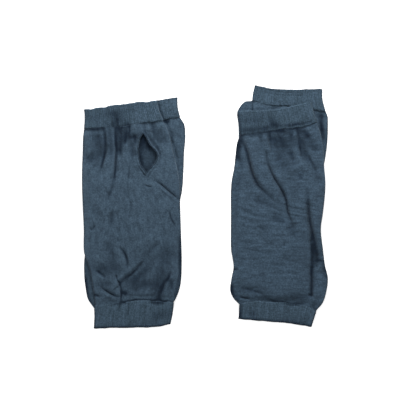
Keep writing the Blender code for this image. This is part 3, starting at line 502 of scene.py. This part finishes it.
def rows_at(sections, places):
    """The section at each place along the tube, on one smooth curve through them, as columns of values."""
    table, knots = np.array(sections), run_of(sections)
    last = len(knots) - 1
    each = np.arange(last + 1)
    before, after = np.maximum(each - 1, 0), np.minimum(each + 1, last)
    slopes = (table[after] - table[before]) / (knots[after] - knots[before])[:, None]
    i = np.clip(np.searchsorted(knots, places, side="right") - 1, 0, last - 1)
    span = (knots[i + 1] - knots[i])[:, None]
    t = (places - knots[i])[:, None] / span
    rows = (
        (2 * t**3 - 3 * t**2 + 1) * table[i]
        + (t**3 - 2 * t**2 + t) * span * slopes[i]
        + (3 * t**2 - 2 * t**3) * table[i + 1]
        + (t**3 - t**2) * span * slopes[i + 1]
    )
    return Section(*rows.T[:, :, None])


def on_rows(row, across):
    """The points of the rows at across, from -1 at a row's left edge to 1 at its right edge."""
    share = (across + 1.0) / 2.0
    tilt = (row.q3 - row.q1) / 0.75
    peak = 4.0 * ((row.q1 + row.q3) / 1.5 - row.mid)
    rise = (1.0 - across**2) * (row.mid + tilt * across + peak * across**2)
    x = row.left_x + (row.right_x - row.left_x) * share
    return x, row.left_y + (row.right_y - row.left_y) * share + rise


def smooth_path(points):
    """Short straight runs along a smooth curve through the points."""
    ends = np.array([points[0], *points, points[-1]])
    path = []
    for a, b, c, d in zip(ends, ends[1:], ends[2:], ends[3:]):
        for t in (0.0, 0.25, 0.5, 0.75):
            bend = (2 * a - 5 * b + 4 * c - d) * t**2 + (3 * b - a - 3 * c + d) * t**3
            path.append((2 * b + (c - a) * t + bend) / 2.0)
    return np.array([*path, points[-1]])


def beside_path(path, x, y):
    """How far each point lies from the path, on its left or right, how far along, and which way off."""
    runs = np.diff(path, axis=0)
    lengths = np.hypot(*runs.T)
    starts = np.concatenate([[0.0], np.cumsum(lengths)])
    away, side, along, off_x, off_y = np.full(x.shape, np.inf), *(np.zeros(x.shape) for _ in range(4))
    for (px, py), (rx, ry), length, start in zip(path, runs, lengths, starts):
        t = np.clip(((x - px) * rx + (y - py) * ry) / length**2, 0.0, 1.0)
        dx, dy = x - px - rx * t, y - py - ry * t
        distance = np.hypot(dx, dy)
        closer = distance < away
        away[closer] = distance[closer]
        side[closer] = np.sign(rx * dy - ry * dx)[closer]
        along[closer] = (start + length * t)[closer] / starts[-1]
        off_x[closer], off_y[closer] = dx[closer], dy[closer]
    clear = np.maximum(away, 1e-6)
    return away, side, along, off_x / clear, off_y / clear


def crease_relief(creases, x, y):
    """How far the creases move the cloth up, sideways in x and y, and how much shade is painted on each point
    in one.
    """
    rise, lean_x, lean_y, shade = (np.zeros(x.shape) for _ in range(4))
    for crease in creases:
        path = smooth_path(crease.points)
        reach = DIES_OUT * max(BROAD * crease.width, abs(crease.trail))
        low, high = path.min(axis=0) - reach, path.max(axis=0) + reach
        near = (x > low[0]) & (x < high[0]) & (y > low[1]) & (y < high[1])
        if not near.any():
            continue
        away, side, along, off_x, off_y = beside_path(path, x[near], y[near])
        fade_in = crease.start + (1.0 - crease.start) * smooth(along / FADE_IN)
        fade_out = crease.end + (1.0 - crease.end) * smooth((1.0 - along) / FADE_OUT)
        fade = fade_in * fade_out
        core = bump_at(away, crease.width)
        trough = CORE_SHARE * core + (1.0 - CORE_SHARE) * bump_at(away, BROAD * crease.width)
        if crease.trail:
            slack = 0.5 * core + 0.5 * bump_at(away, abs(crease.trail))
            trough = np.where(side * crease.trail > 0.0, slack, trough)
        on_ridge = (side * crease.ridge > 0.0) * abs(crease.ridge)
        ridge = on_ridge * bump_at(away - RIDGE_AT * crease.width, RIDGE_WIDTH * crease.width)
        lean = on_ridge * LEAN * bump_at(away - LEAN_AT * crease.width, LEAN_WIDTH * crease.width)
        rise[near] += fade * (ridge - crease.depth * trough)
        lean_x[near] -= fade * lean * off_x
        lean_y[near] -= fade * lean * off_y
        # painted shade in the crease's core, paler where it is broad
        steep = min(1.0, STEEP_SHADE * crease.depth / crease.width)
        dark = np.clip(crease.depth / DARKEST_DEPTH, 0.0, 1.0) * steep
        shade[near] += fade * dark * bump_at(away, SHADE_WIDTH * crease.width)
    return rise, lean_x, lean_y, shade


def gathers(across, from_seam, width):
    """Eleven uneven puckers below a seam, which die out down the body."""
    height = np.zeros(across.shape)
    for k in range(11):
        place = -0.93 + 0.186 * (k + 0.3 * math.sin(2.4 * k + 0.7))
        depth = 0.75 * (0.6 + 0.4 * math.sin(3.1 * k + 1.0))
        length = 8.0 + 5.0 * math.sin(1.7 * k + 0.4)
        aside = (across - place) * width / 2.0 + 0.12 * from_seam * math.sin(2.2 * k)
        height = height - depth * bump_at(aside, 1.7) * np.exp(-np.maximum(from_seam, 0.0) / length)
    return height


def wrinkles(x, y, seed, crosswise):
    """Soft unevenness of slack knitting, mostly lengthwise, or across where crosswise is 1.

    It has three layers: 24 by 36 mm, 7 by 11 mm and 4 by 7 mm, across and along the tube.
    """
    height = np.zeros(x.shape)
    stretch_x, stretch_y = 1.0 + 0.9 * crosswise, 1.0 - 0.55 * crosswise
    for spot in np.ndindex(x.shape):
        px, py = x[spot] / stretch_x[spot], y[spot] / stretch_y[spot]
        broad = noise.noise(Vector((x[spot] / 24.0, y[spot] / 36.0, seed + 9.0)))
        soft = noise.noise(Vector((px / 7.0, py / 11.0, seed)))
        fine = noise.noise(Vector((px / 4.0, py / 7.0, seed + 5.0)))
        height[spot] = 2.2 * broad + (1.0 - 0.5 * crosswise[spot]) * (1.1 * soft + 0.45 * fine)
    return height


def hole_outline(inset=0.0):
    """The thumb hole's edge, down its left side, up its right and closed, taken in by inset."""
    inset = inset - HOLE_STRETCH
    left = [(r.slit_x - max(0.1, r.left - inset), r.y) for r in THUMB_HOLE]
    right = [(r.slit_x + max(0.1, r.right - inset), r.y) for r in THUMB_HOLE]
    return left + right[::-1] + left[:1]


def from_hole(x, y):
    """How far each point lies from the thumb hole's edge."""
    return beside_path(np.array(hole_outline()), x, y)[0]


def plumpness(places, length):
    """How full a body is along its length, from 0 at its seams to 1."""
    return smooth(places / PLUMP_RAMP) * smooth((length - places) / PLUMP_RAMP)


def top_relief(piece, width, places, length, across, x, y):
    """What the top wall does beyond lying flat: rise, sideways lean, and how much shade is painted on it."""
    rise, lean_x, lean_y, shade = crease_relief(piece.creases, x, y)
    if piece.body:
        plump = plumpness(places, length)
        edge = 1.0 - across**8
        rise += (UPPER_PUFF if piece.upper else UNDER_PUFF) * plump * (1.0 - across**4)
        pucker = edge * (1.0 if piece.upper else 0.5)
        rise += pucker * (gathers(across, places, width) + gathers(-across, length - places, width))
        # the right body's lower half is pulled sideways
        crosswise = smooth((8.0 - y) / 30.0) * (piece.node == "right_upper_body")
        slack = wrinkles(x, y, len(piece.node) + x.mean(), crosswise)
        rise += (0.25 + 0.75 * plump) * edge * slack
        # painted shade in the hollows of the slack cloth
        shade += 0.13 * np.clip(-slack, 0.0, 1.5)
    if piece.node == "left_upper_body":
        away = from_hole(x, y)
        rise += HOLE_LIFT * bump_at(away, HOLE_RIM)
        # painted shade in a ring just beyond the lifted rim round the thumb hole
        shade += 0.3 * bump_at(away - HOLE_RIM, 0.9)
    return rise, lean_x, lean_y, shade


def ring_of(piece):
    """Round a flattened tube from its left edge, over the top and back underneath.

    Each column has its place across, how far it faces outwards and up, and its distance round the knit.
    """
    bends = np.radians([60.0, 30.0, 0.0, -30.0, -60.0])
    top = np.linspace(-1.0, 1.0, piece.columns + 1)
    under = top[::-1] if not piece.body else np.linspace(1.0, -1.0, 41)
    flat, level = np.zeros(len(top)), np.ones(len(top))
    side = np.ones(len(bends))
    across = np.concatenate([top, side, under, -side])
    outward = np.concatenate([flat, np.cos(bends), np.zeros(len(under)), -np.cos(bends)])
    up = np.concatenate([level, np.sin(bends), -np.ones(len(under)), np.sin(bends[::-1])])
    half_width, radius = mean_width(piece.sections) / 2.0, BAND_HEIGHT / 2.0
    steps = np.hypot(half_width * np.diff(across, append=-1.0), radius * np.diff(up, append=1.0))
    round_it = np.concatenate([[0.0], np.cumsum(steps)])
    repeat = WALE if piece.body else RIB_PITCH
    whole = round(round_it[-1] / repeat) * repeat
    return across, outward, up, round_it * whole / round_it[-1]


def rings_of(piece, length):
    """Down the outside and back up the inside: how far along and how deep in the wall each ring lies."""
    start, end = (-SEAM_TUCK, length + SEAM_TUCK) if piece.body else (0.0, length)
    outside = np.linspace(start, end, piece.rows + 1)
    inside = np.linspace(end, start, piece.rows // 6 + 2)
    places = np.concatenate([outside, inside])
    insets = np.concatenate([np.zeros(len(outside)), np.full(len(inside), WALL)])
    if not piece.body:
        insets[0], insets[len(outside) - 1] = ROUNDED_ENDS
    return places[:, None], insets[:, None]


def ribbing(piece, stitch_u, up, insets, places, length, from_edge):
    """How far the ribs and the cast-on edge stand out, and how much shade is painted in the furrows between
    them.
    """
    ribs = 0.5 - 0.5 * np.cos(2.0 * math.pi * stitch_u[:-1] / RIB_PITCH)
    # all round an upper piece, and on the top of one underneath
    shown = (insets < WALL) * (up > (-2.0 if piece.upper else -0.1))
    tight = smooth(places / 1.2) * smooth((length - places) / 0.8)
    beaded = bump_at(from_edge - BEAD_AT, EDGE_WIDTH)
    return shown * (RIB_HEIGHT * tight * ribs**0.8 + EDGE_BEAD * beaded), 0.2 * (1.0 - ribs) * shown


def shade_of(piece, shade, insets, outward, up, edge, half, x, y):
    """How much shade is painted on the yarn: deep in a crease, inside a wall, and where a wall turns under.
    """
    inside = INSIDE_SHADE
    if piece.node == "left_upper_body":
        # painted shade seen through the thumb hole, darker near its edge, towards its hand end and on its
        # left
        inside = 0.5 + 0.3 * bump_at(from_hole(x, y), 2.6)
        inside = inside + 0.5 * smooth((y - 55.0) / 20.0) + 0.4 * smooth((-66.0 - x) / 4.0)
    turned = TURNED_BAND_SHADE if piece.node.endswith("under_band") else TURNED_SHADE
    turned = turned * (np.abs(outward) > 0.1) * (1.0 - up)
    # and painted shade in a strip along each side edge
    turned = turned + 0.35 * bump_at((1.0 - np.abs(edge)) * half, 1.5)
    if piece.upper:
        # less painted shade along the right, where the warmer underneath shows beside it
        turned = turned * (1.0 - 0.8 * (edge > 0.0) * smooth((y - 10.0) / 30.0))
    shade = shade * np.maximum(up, 0.0) + inside * (insets > 0.5) + turned
    return np.tanh(SHADE_GAIN * np.maximum(shade, 0.0)) ** SHADE_POWER


def wall_points(piece):
    """Every point of the piece's wall, ring by ring, with its stitch coordinates and how much shade is
    painted on it.
    """
    across, outward, up, stitch_u = ring_of(piece)
    length = run_of(piece.sections)[-1]
    places, insets = rings_of(piece, length)
    row = rows_at(piece.sections, places[:, 0])
    width = row.right_x - row.left_x
    height = np.full(places.shape, BAND_HEIGHT)
    if piece.body:
        ends, full = BAND_HEIGHT - SEAM_DROP, UPPER_HEIGHT if piece.upper else UNDER_HEIGHT
        height = ends + (full - ends) * plumpness(places, length)
    radius = height / 2.0
    centre = across * (1.0 - 2.0 * radius / width)
    x, y = on_rows(row, centre)
    rise, lean_x, lean_y, shade = top_relief(piece, width, places, length, centre, x, y)
    lowest = SOFT_STOP - (height - 2.0 * WALL - REST_GAP)
    rise = np.where(rise < lowest, lowest - SOFT_STOP + SOFT_STOP * np.exp((rise - lowest) / SOFT_STOP), rise)
    proud = np.zeros(x.shape)
    if piece.body:
        from_seam = np.minimum(places, length - places)
        # painted shade along the seams
        shade = shade + 0.1 * bump_at(from_seam, 1.5)
    else:
        band = piece.node.endswith("band")
        from_edge, from_seam = (places, length - places) if band else (length - places, places)
        proud, furrows = ribbing(piece, stitch_u, up, insets, places, length, from_edge)
        cast_on = PALE_EDGES.get(piece.node, BAND_EDGE if band else CUFF_EDGE)
        # uneven waves, some 20 mm long
        wave = 0.35 * np.sin(0.31 * x + 1.5 * np.sin(0.11 * x)) + 0.12 * np.sin(0.83 * x)
        y = y + cast_on.wave * wave * bump_at(from_edge - BEAD_AT, EDGE_WIDTH)
        # painted shade in the rib furrows and along the cast-on lip
        shade = shade + furrows + cast_on.shade * bump_at(from_edge, cast_on.shade_width)
    seam_wave = 0.3 * np.sin(0.33 * x + 1.9 * np.sin(0.13 * x))
    seam_wave = seam_wave + 0.15 * np.sin(0.9 * x + 2.0 * np.sin(0.21 * x))
    y = y + seam_wave * bump_at(from_seam, 5.0)
    reach = (radius - insets + proud) * outward
    facing = np.maximum(up, 0.0)
    half = width / 2.0
    edge = centre + reach / half
    z = (STACK_Z if piece.upper else 0.0) + radius + (radius - insets + proud) * up + facing * rise
    z = z - row.sag_l * (1.0 - smooth((edge + 1.0) * half / SAG_WIDTH))
    z = z - row.sag_r * (1.0 - smooth((1.0 - edge) * half / SAG_WIDTH))
    slope = (row.right_y - row.left_y) / width
    points = np.stack([x + reach + facing * lean_x, y + reach * slope + facing * lean_y, z], axis=-1)
    shade = shade_of(piece, shade, insets, outward, up, edge, half, x, y)
    return points * MM, stitch_u, places[:, 0], shade


def in_scene(name, data):
    """A new object in the scene."""
    made = bpy.data.objects.new(name, data)
    bpy.context.scene.collection.objects.link(made)
    return made


def as_object(name, bm):
    """The mesh as a new object in the scene."""
    mesh = bpy.data.meshes.new(name)
    bm.to_mesh(mesh)
    bm.free()
    return in_scene(name, mesh)


def wrapped_wall(name, points, stitch_u, stitch_v, shade):
    """A grid wrapped round both ways through the points into one closed wall, with its stitches as UVs."""
    loops, columns = points.shape[:2]
    bm = bmesh.new()
    stitches = bm.loops.layers.uv.new("stitches")
    # the painted shade that the material reads
    deep = bm.verts.layers.float.new("crease")
    made = bmesh.ops.create_grid(bm, x_segments=columns, y_segments=loops, size=1.0)
    spots = {}
    for vert in made["verts"]:
        column = round((vert.co.x + 1.0) / 2.0 * columns)
        loop = round((vert.co.y + 1.0) / 2.0 * loops)
        spots[vert] = (column, loop)
    for face in bm.faces:
        for corner in face.loops:
            column, loop = spots[corner.vert]
            corner[stitches].uv = (stitch_u[column], stitch_v[loop % loops])
    for vert, (column, loop) in spots.items():
        vert.co = points[loop % loops, column % columns]
        vert[deep] = shade[loop % loops, column % columns]
    bmesh.ops.remove_doubles(bm, verts=bm.verts, dist=WELD)
    bmesh.ops.recalc_face_normals(bm, faces=bm.faces)
    made = as_object(name, bm)
    made.data.shade_smooth()
    return made


def cut_hole(wall, shift, low, high):
    """The thumb hole, shift further to the right, cut from low to high through the wall for good."""
    bm = bmesh.new()
    outline = smooth_path(hole_outline())[:-1]
    face = bm.faces.new([bm.verts.new(Vector((x + shift, y, low)) * MM) for x, y in outline])
    grown = bmesh.ops.extrude_face_region(bm, geom=[face])
    lifted = [g for g in grown["geom"] if isinstance(g, bmesh.types.BMVert)]
    bmesh.ops.translate(bm, verts=lifted, vec=Vector((0.0, 0.0, high - low)) * MM)
    bmesh.ops.recalc_face_normals(bm, faces=bm.faces)
    cutter = as_object("thumb_cutter", bm)
    cutting = wall.modifiers.new("thumb_hole", "BOOLEAN")
    cutting.operation, cutting.solver, cutting.object = "DIFFERENCE", "EXACT", cutter
    whole = wall.evaluated_get(bpy.context.evaluated_depsgraph_get())
    wall.data = bpy.data.meshes.new_from_object(whole)
    wall.modifiers.clear()
    bpy.data.objects.remove(cutter)


def hole_edge(wall):
    """The cast-off edge round the thumb hole, a thin roll that follows the cloth."""
    path = smooth_path(hole_outline(EDGE_INSET))[:-1]
    ahead, behind = np.roll(path, -1, axis=0), np.roll(path, 1, axis=0)
    along = (ahead - behind) / np.hypot(*(ahead - behind).T)[:, None]
    heights = []
    for x, y in path:
        hit = wall.ray_cast(Vector((x * MM, y * MM, 0.1)), Vector((0.0, 0.0, -1.0)))
        heights.append(hit[1].z / MM)
    heights = np.convolve(np.array(heights[-2:] + heights + heights[:2]), np.ones(5) / 5.0, "valid")
    turns = np.linspace(0.0, 2.0 * math.pi, 11)[:-1]
    steps = np.concatenate([[0.0], np.cumsum(np.hypot(*(ahead - path).T))])
    radius = EDGE_RADIUS * (1.0 + 0.12 * np.sin(2.0 * math.pi * steps[:-1] / WALE))[:, None]
    aside, lift = radius * np.cos(turns), radius * 0.8 * np.sin(turns)
    x = path[:, :1] + along[:, 1:] * aside
    y = path[:, 1:] - along[:, :1] * aside
    z = heights[:, None] - EDGE_SINK + lift
    points = np.stack([x, y, z], axis=-1) * MM
    stitch_u = np.linspace(0.0, 5.0, 11)
    # with painted shade all over it
    return wrapped_wall("left_thumb_edge_knit", points, stitch_u, steps[:-1], np.full(z.shape, EDGE_SHADE))


def linear(hex_colour):
    """An sRGB hex colour as the linear colour that a shader takes."""
    parts = [int(hex_colour[k : k + 2], 16) / 255.0 for k in (1, 3, 5)]
    return [p / 12.92 if p <= 0.04045 else ((p + 0.055) / 1.055) ** 2.4 for p in parts] + [1.0]


def add_node(tree, kind, inputs=None, **settings):
    """A node with its settings. Each input is a value, a socket, or a node for its first output."""
    made = tree.nodes.new(kind)
    for key, value in settings.items():
        setattr(made, key, value)
    for key, value in (inputs or {}).items():
        if isinstance(value, bpy.types.Node):
            value = value.outputs[0]
        if isinstance(value, bpy.types.NodeSocket):
            tree.links.new(value, made.inputs[key])
        else:
            made.inputs[key].default_value = value
    return made


def heathered_knit(name, yarn_dark, yarn_mid, yarn_light, repeat, streak_scale):
    """Fine acrylic and cotton yarn, dyed in one shade and carded with lighter and darker fibre.

    It gives a soft mottle with no gloss, a little sheen of loose fibre, and rows of V stitches, repeat
    millimetres apart. The stitches are about their real size, which is as fine as shows.
    """
    material = bpy.data.materials.new(name)
    material.use_nodes = True
    tree = material.node_tree
    shader = tree.nodes["Principled BSDF"]
    place = add_node(tree, "ShaderNodeTexCoord").outputs["Object"]
    # single fibres and stitches, 1.6 mm
    fibre = add_node(tree, NOISE, {"Vector": place, "Scale": 620.0, "Detail": 3.0, "Roughness": 0.6})
    # soft clouds of shade where the yarn runs lighter, 8 by 14 mm
    lengthwise = add_node(tree, "ShaderNodeMapping", {"Vector": place, "Scale": (1.0, 0.55, 1.0)})
    cloud = add_node(tree, NOISE, {"Vector": lengthwise, "Scale": 130.0, "Detail": 4.0, "Roughness": 0.65})
    # courses and wales of slightly lighter or darker yarn, seen as faint streaks
    uv = add_node(tree, "ShaderNodeUVMap", uv_map="stitches")
    stretch = add_node(tree, "ShaderNodeMapping", {"Vector": uv, "Scale": streak_scale})
    streaks = add_node(tree, NOISE, {"Vector": stretch, "Scale": 1.0, "Detail": 2.0, "Roughness": 0.6})
    cloudy = add_node(tree, "ShaderNodeMix", {"Factor": 0.35, 2: streaks, 3: cloud})
    mottle = add_node(tree, "ShaderNodeMix", {"Factor": 0.5, 2: cloudy, 3: fibre})
    yarn = add_node(tree, "ShaderNodeValToRGB", {"Fac": mottle})
    ramp = yarn.color_ramp.elements
    ramp[0].position, ramp[0].color = 0.36, linear(yarn_dark)
    ramp[1].position, ramp[1].color = 0.64, linear(yarn_light)
    ramp.new(0.5).color = linear(yarn_mid)
    # painted shade, darker deep in a crease, as unevenly as the clouds of yarn tone
    deep = add_node(tree, "ShaderNodeAttribute", attribute_name="crease").outputs["Fac"]
    patchy = add_node(tree, MATH, {0: cloud, 1: 1.82, 2: 0.1}, operation="MULTIPLY_ADD")
    dark = add_node(tree, MATH, {0: deep, 1: patchy}, operation="MULTIPLY")
    sockets = {"Factor": dark, 6: yarn, 7: linear("#406077")}
    colour = add_node(tree, "ShaderNodeMix", sockets, data_type="RGBA", blend_type="MULTIPLY")
    tree.links.new(colour.outputs[2], shader.inputs["Base Color"])
    # V stitches: u counts columns of stitches, and v runs along them
    split = add_node(tree, "ShaderNodeSeparateXYZ", {"Vector": uv})
    across = add_node(tree, MATH, {0: split, 1: repeat}, operation="DIVIDE")
    part = add_node(tree, MATH, {0: across}, operation="FRACT")
    aside = add_node(tree, MATH, {0: part, 1: 0.5}, operation="SUBTRACT")
    leg = add_node(tree, MATH, {0: aside}, operation="ABSOLUTE")
    up = add_node(tree, MATH, {0: split.outputs["Y"], 1: COURSE}, operation="DIVIDE")
    slant = add_node(tree, MATH, {0: leg, 1: 1.3, 2: up}, operation="MULTIPLY_ADD")
    turn = add_node(tree, MATH, {0: slant, 1: 2.0 * math.pi}, operation="MULTIPLY")
    wave = add_node(tree, MATH, {0: turn}, operation="SINE")
    round_leg = add_node(tree, MATH, {0: leg, 1: 2.0 * math.pi}, operation="MULTIPLY")
    legs = add_node(tree, MATH, {0: round_leg}, operation="SINE")
    stitch = add_node(tree, MATH, {0: wave, 1: 0.35, 2: legs}, operation="MULTIPLY_ADD")
    fuzzy = add_node(tree, MATH, {0: fibre, 1: 1.4, 2: stitch}, operation="MULTIPLY_ADD")
    # the cloth's own small unevenness, 3.6 mm
    uneven = add_node(tree, NOISE, {"Vector": place, "Scale": 280.0, "Detail": 2.0, "Roughness": 0.5})
    fuzzy = add_node(tree, MATH, {0: uneven, 1: 3.0, 2: fuzzy}, operation="MULTIPLY_ADD")
    bump = add_node(tree, "ShaderNodeBump", {"Strength": 0.55, "Distance": 0.5 * MM, "Height": fuzzy})
    tree.links.new(bump.outputs["Normal"], shader.inputs["Normal"])
    shader.inputs["Roughness"].default_value = 0.92
    shader.inputs["Specular IOR Level"].default_value = 0.175
    shader.inputs["Sheen Weight"].default_value = 0.175
    shader.inputs["Sheen Roughness"].default_value = 0.5
    shader.inputs["Sheen Tint"].default_value = linear("#a8bccb")
    return material


def pale_floor():
    """A wide table top of matt white acrylic."""
    bm = bmesh.new()
    bmesh.ops.create_grid(bm, x_segments=1, y_segments=1, size=3.0)
    bmesh.ops.translate(bm, verts=bm.verts, vec=(0.0, 0.0, -0.0003))
    floor = as_object("floor", bm)
    paper = bpy.data.materials.new("matt_white_acrylic")
    paper.use_nodes = True
    shader = paper.node_tree.nodes["Principled BSDF"]
    shader.inputs["Base Color"].default_value = linear("#f7f7f7")
    shader.inputs["Roughness"].default_value = 0.95
    shader.inputs["Specular IOR Level"].default_value = 0.1
    # the sheet is lit from below as well, so that hardly a shadow shows
    shader.inputs["Emission Color"].default_value = linear("#ffffff")
    shader.inputs["Emission Strength"].default_value = 0.6
    floor.data.materials.append(paper)


def studio():
    """A softbox beyond the hand ends, a broad light overhead, and the camera straight above."""
    softbox = bpy.data.lights.new("key", "AREA")
    softbox.energy, softbox.size = 6.6, 0.30
    key = in_scene("key", softbox)
    key.location = (0.02, 0.62, 0.44)
    key.rotation_euler = key.location.to_track_quat("Z", "Y").to_euler()
    sky = bpy.data.lights.new("overhead", "SUN")
    sky.energy, sky.angle = 0.85, math.radians(70.0)
    overhead = in_scene("overhead", sky)
    # from the left, 12 degrees off upright
    overhead.rotation_euler = (math.radians(12.0), 0.0, math.radians(290.0))
    world = bpy.data.worlds.new("soft_room")
    world.use_nodes = True
    room = world.node_tree.nodes["Background"].inputs
    room["Color"].default_value = linear("#ffffff")
    room["Strength"].default_value = 0.4
    bpy.context.scene.world = world
    bpy.context.scene.view_settings.view_transform = "Standard"
    lens = bpy.data.cameras.new("camera")
    lens.lens, lens.sensor_width = 200.0, 36.0
    camera = in_scene("camera", lens)
    distance = PHOTO_PIXELS * PIXEL * lens.lens / lens.sensor_width
    camera.location = Vector((*FRAME_MIDDLE, PIXEL_HEIGHT + distance)) * MM
    bpy.context.scene.camera = camera


def warmer(name, band, body, cuff, band_creases, creases, cuff_creases=()):
    """The three pieces of one warmer."""
    upper = name.endswith("upper")
    ribs = [6 * round((rows[0].right_x - rows[0].left_x) / RIB_PITCH) for rows in (band, cuff)]
    columns, rows = (150, 270) if upper else (90, 150)
    return [
        Piece(f"{name}_band", band, band_creases, upper, False, ribs[0], 26),
        Piece(f"{name}_body", body, creases, upper, True, columns, rows),
        Piece(f"{name}_cuff", cuff, cuff_creases, upper, False, ribs[1], 26),
    ]


def dress(made, node, material):
    """Gives it its material, hangs it from the root, and hides the CAD node it stands for."""
    made.data.materials.clear()
    made.data.materials.append(material)
    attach(made, "root")
    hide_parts(node)


def build():
    """The scene: the studio, the floor, and the thirteen pieces of the four warmers."""
    studio()
    pale_floor()
    jersey = heathered_knit("heathered_jersey", "#293845", "#374857", "#445868", WALE, (0.3, 0.12, 1.0))
    rib = heathered_knit("heathered_rib", "#273540", "#374957", "#485b6d", RIB_PITCH, (0.4, 0.06, 1.0))
    # the same yarn with its streaks running across, and a little darker all over: painted shade
    right_jersey = heathered_knit(
        "heathered_jersey_right", "#273542", "#344554", "#425668", WALE, (0.08, 0.35, 1.0)
    )
    pieces = [
        *warmer(
            "left_upper", LEFT_UPPER_BAND, LEFT_UPPER_BODY, LEFT_UPPER_CUFF,
            LEFT_BAND_CREASES, LEFT_UPPER_CREASES, LEFT_CUFF_CREASES,
        ),
        *warmer(
            "right_upper", RIGHT_UPPER_BAND, RIGHT_UPPER_BODY, RIGHT_UPPER_CUFF,
            RIGHT_BAND_CREASES, RIGHT_UPPER_CREASES, RIGHT_CUFF_CREASES,
        ),
        *warmer(
            "left_under", LEFT_UNDER_BAND, LEFT_UNDER_BODY, LEFT_UNDER_CUFF,
            LEFT_UNDER_BAND_CREASES, LEFT_UNDER_CREASES,
        ),
        *warmer(
            "right_under", RIGHT_UNDER_BAND, RIGHT_UNDER_BODY, RIGHT_UNDER_CUFF,
            RIGHT_UNDER_BAND_CREASES, RIGHT_UNDER_CREASES,
        ),
    ]
    for piece in pieces:
        made = wrapped_wall(f"{piece.node}_knit", *wall_points(piece))
        if piece.node == "left_upper_body":
            edge = hole_edge(made)
            # from just above the bottom wall to well above the cloth
            cut_hole(made, 0.0, STACK_Z + WALL + 0.4, STACK_Z + UPPER_HEIGHT + 6.0)
            dress(edge, "left_thumb_edge", rib)
        if piece.node == "right_upper_body":
            # from well below the bottom wall to inside the gap above it
            cut_hole(made, TURNED_HOLE_SHIFT, STACK_Z - 3.0, STACK_Z + WALL + REST_GAP / 2.0)
        cloth = (jersey if piece.node != "right_upper_body" else right_jersey) if piece.body else rib
        dress(made, piece.node, cloth)


build()
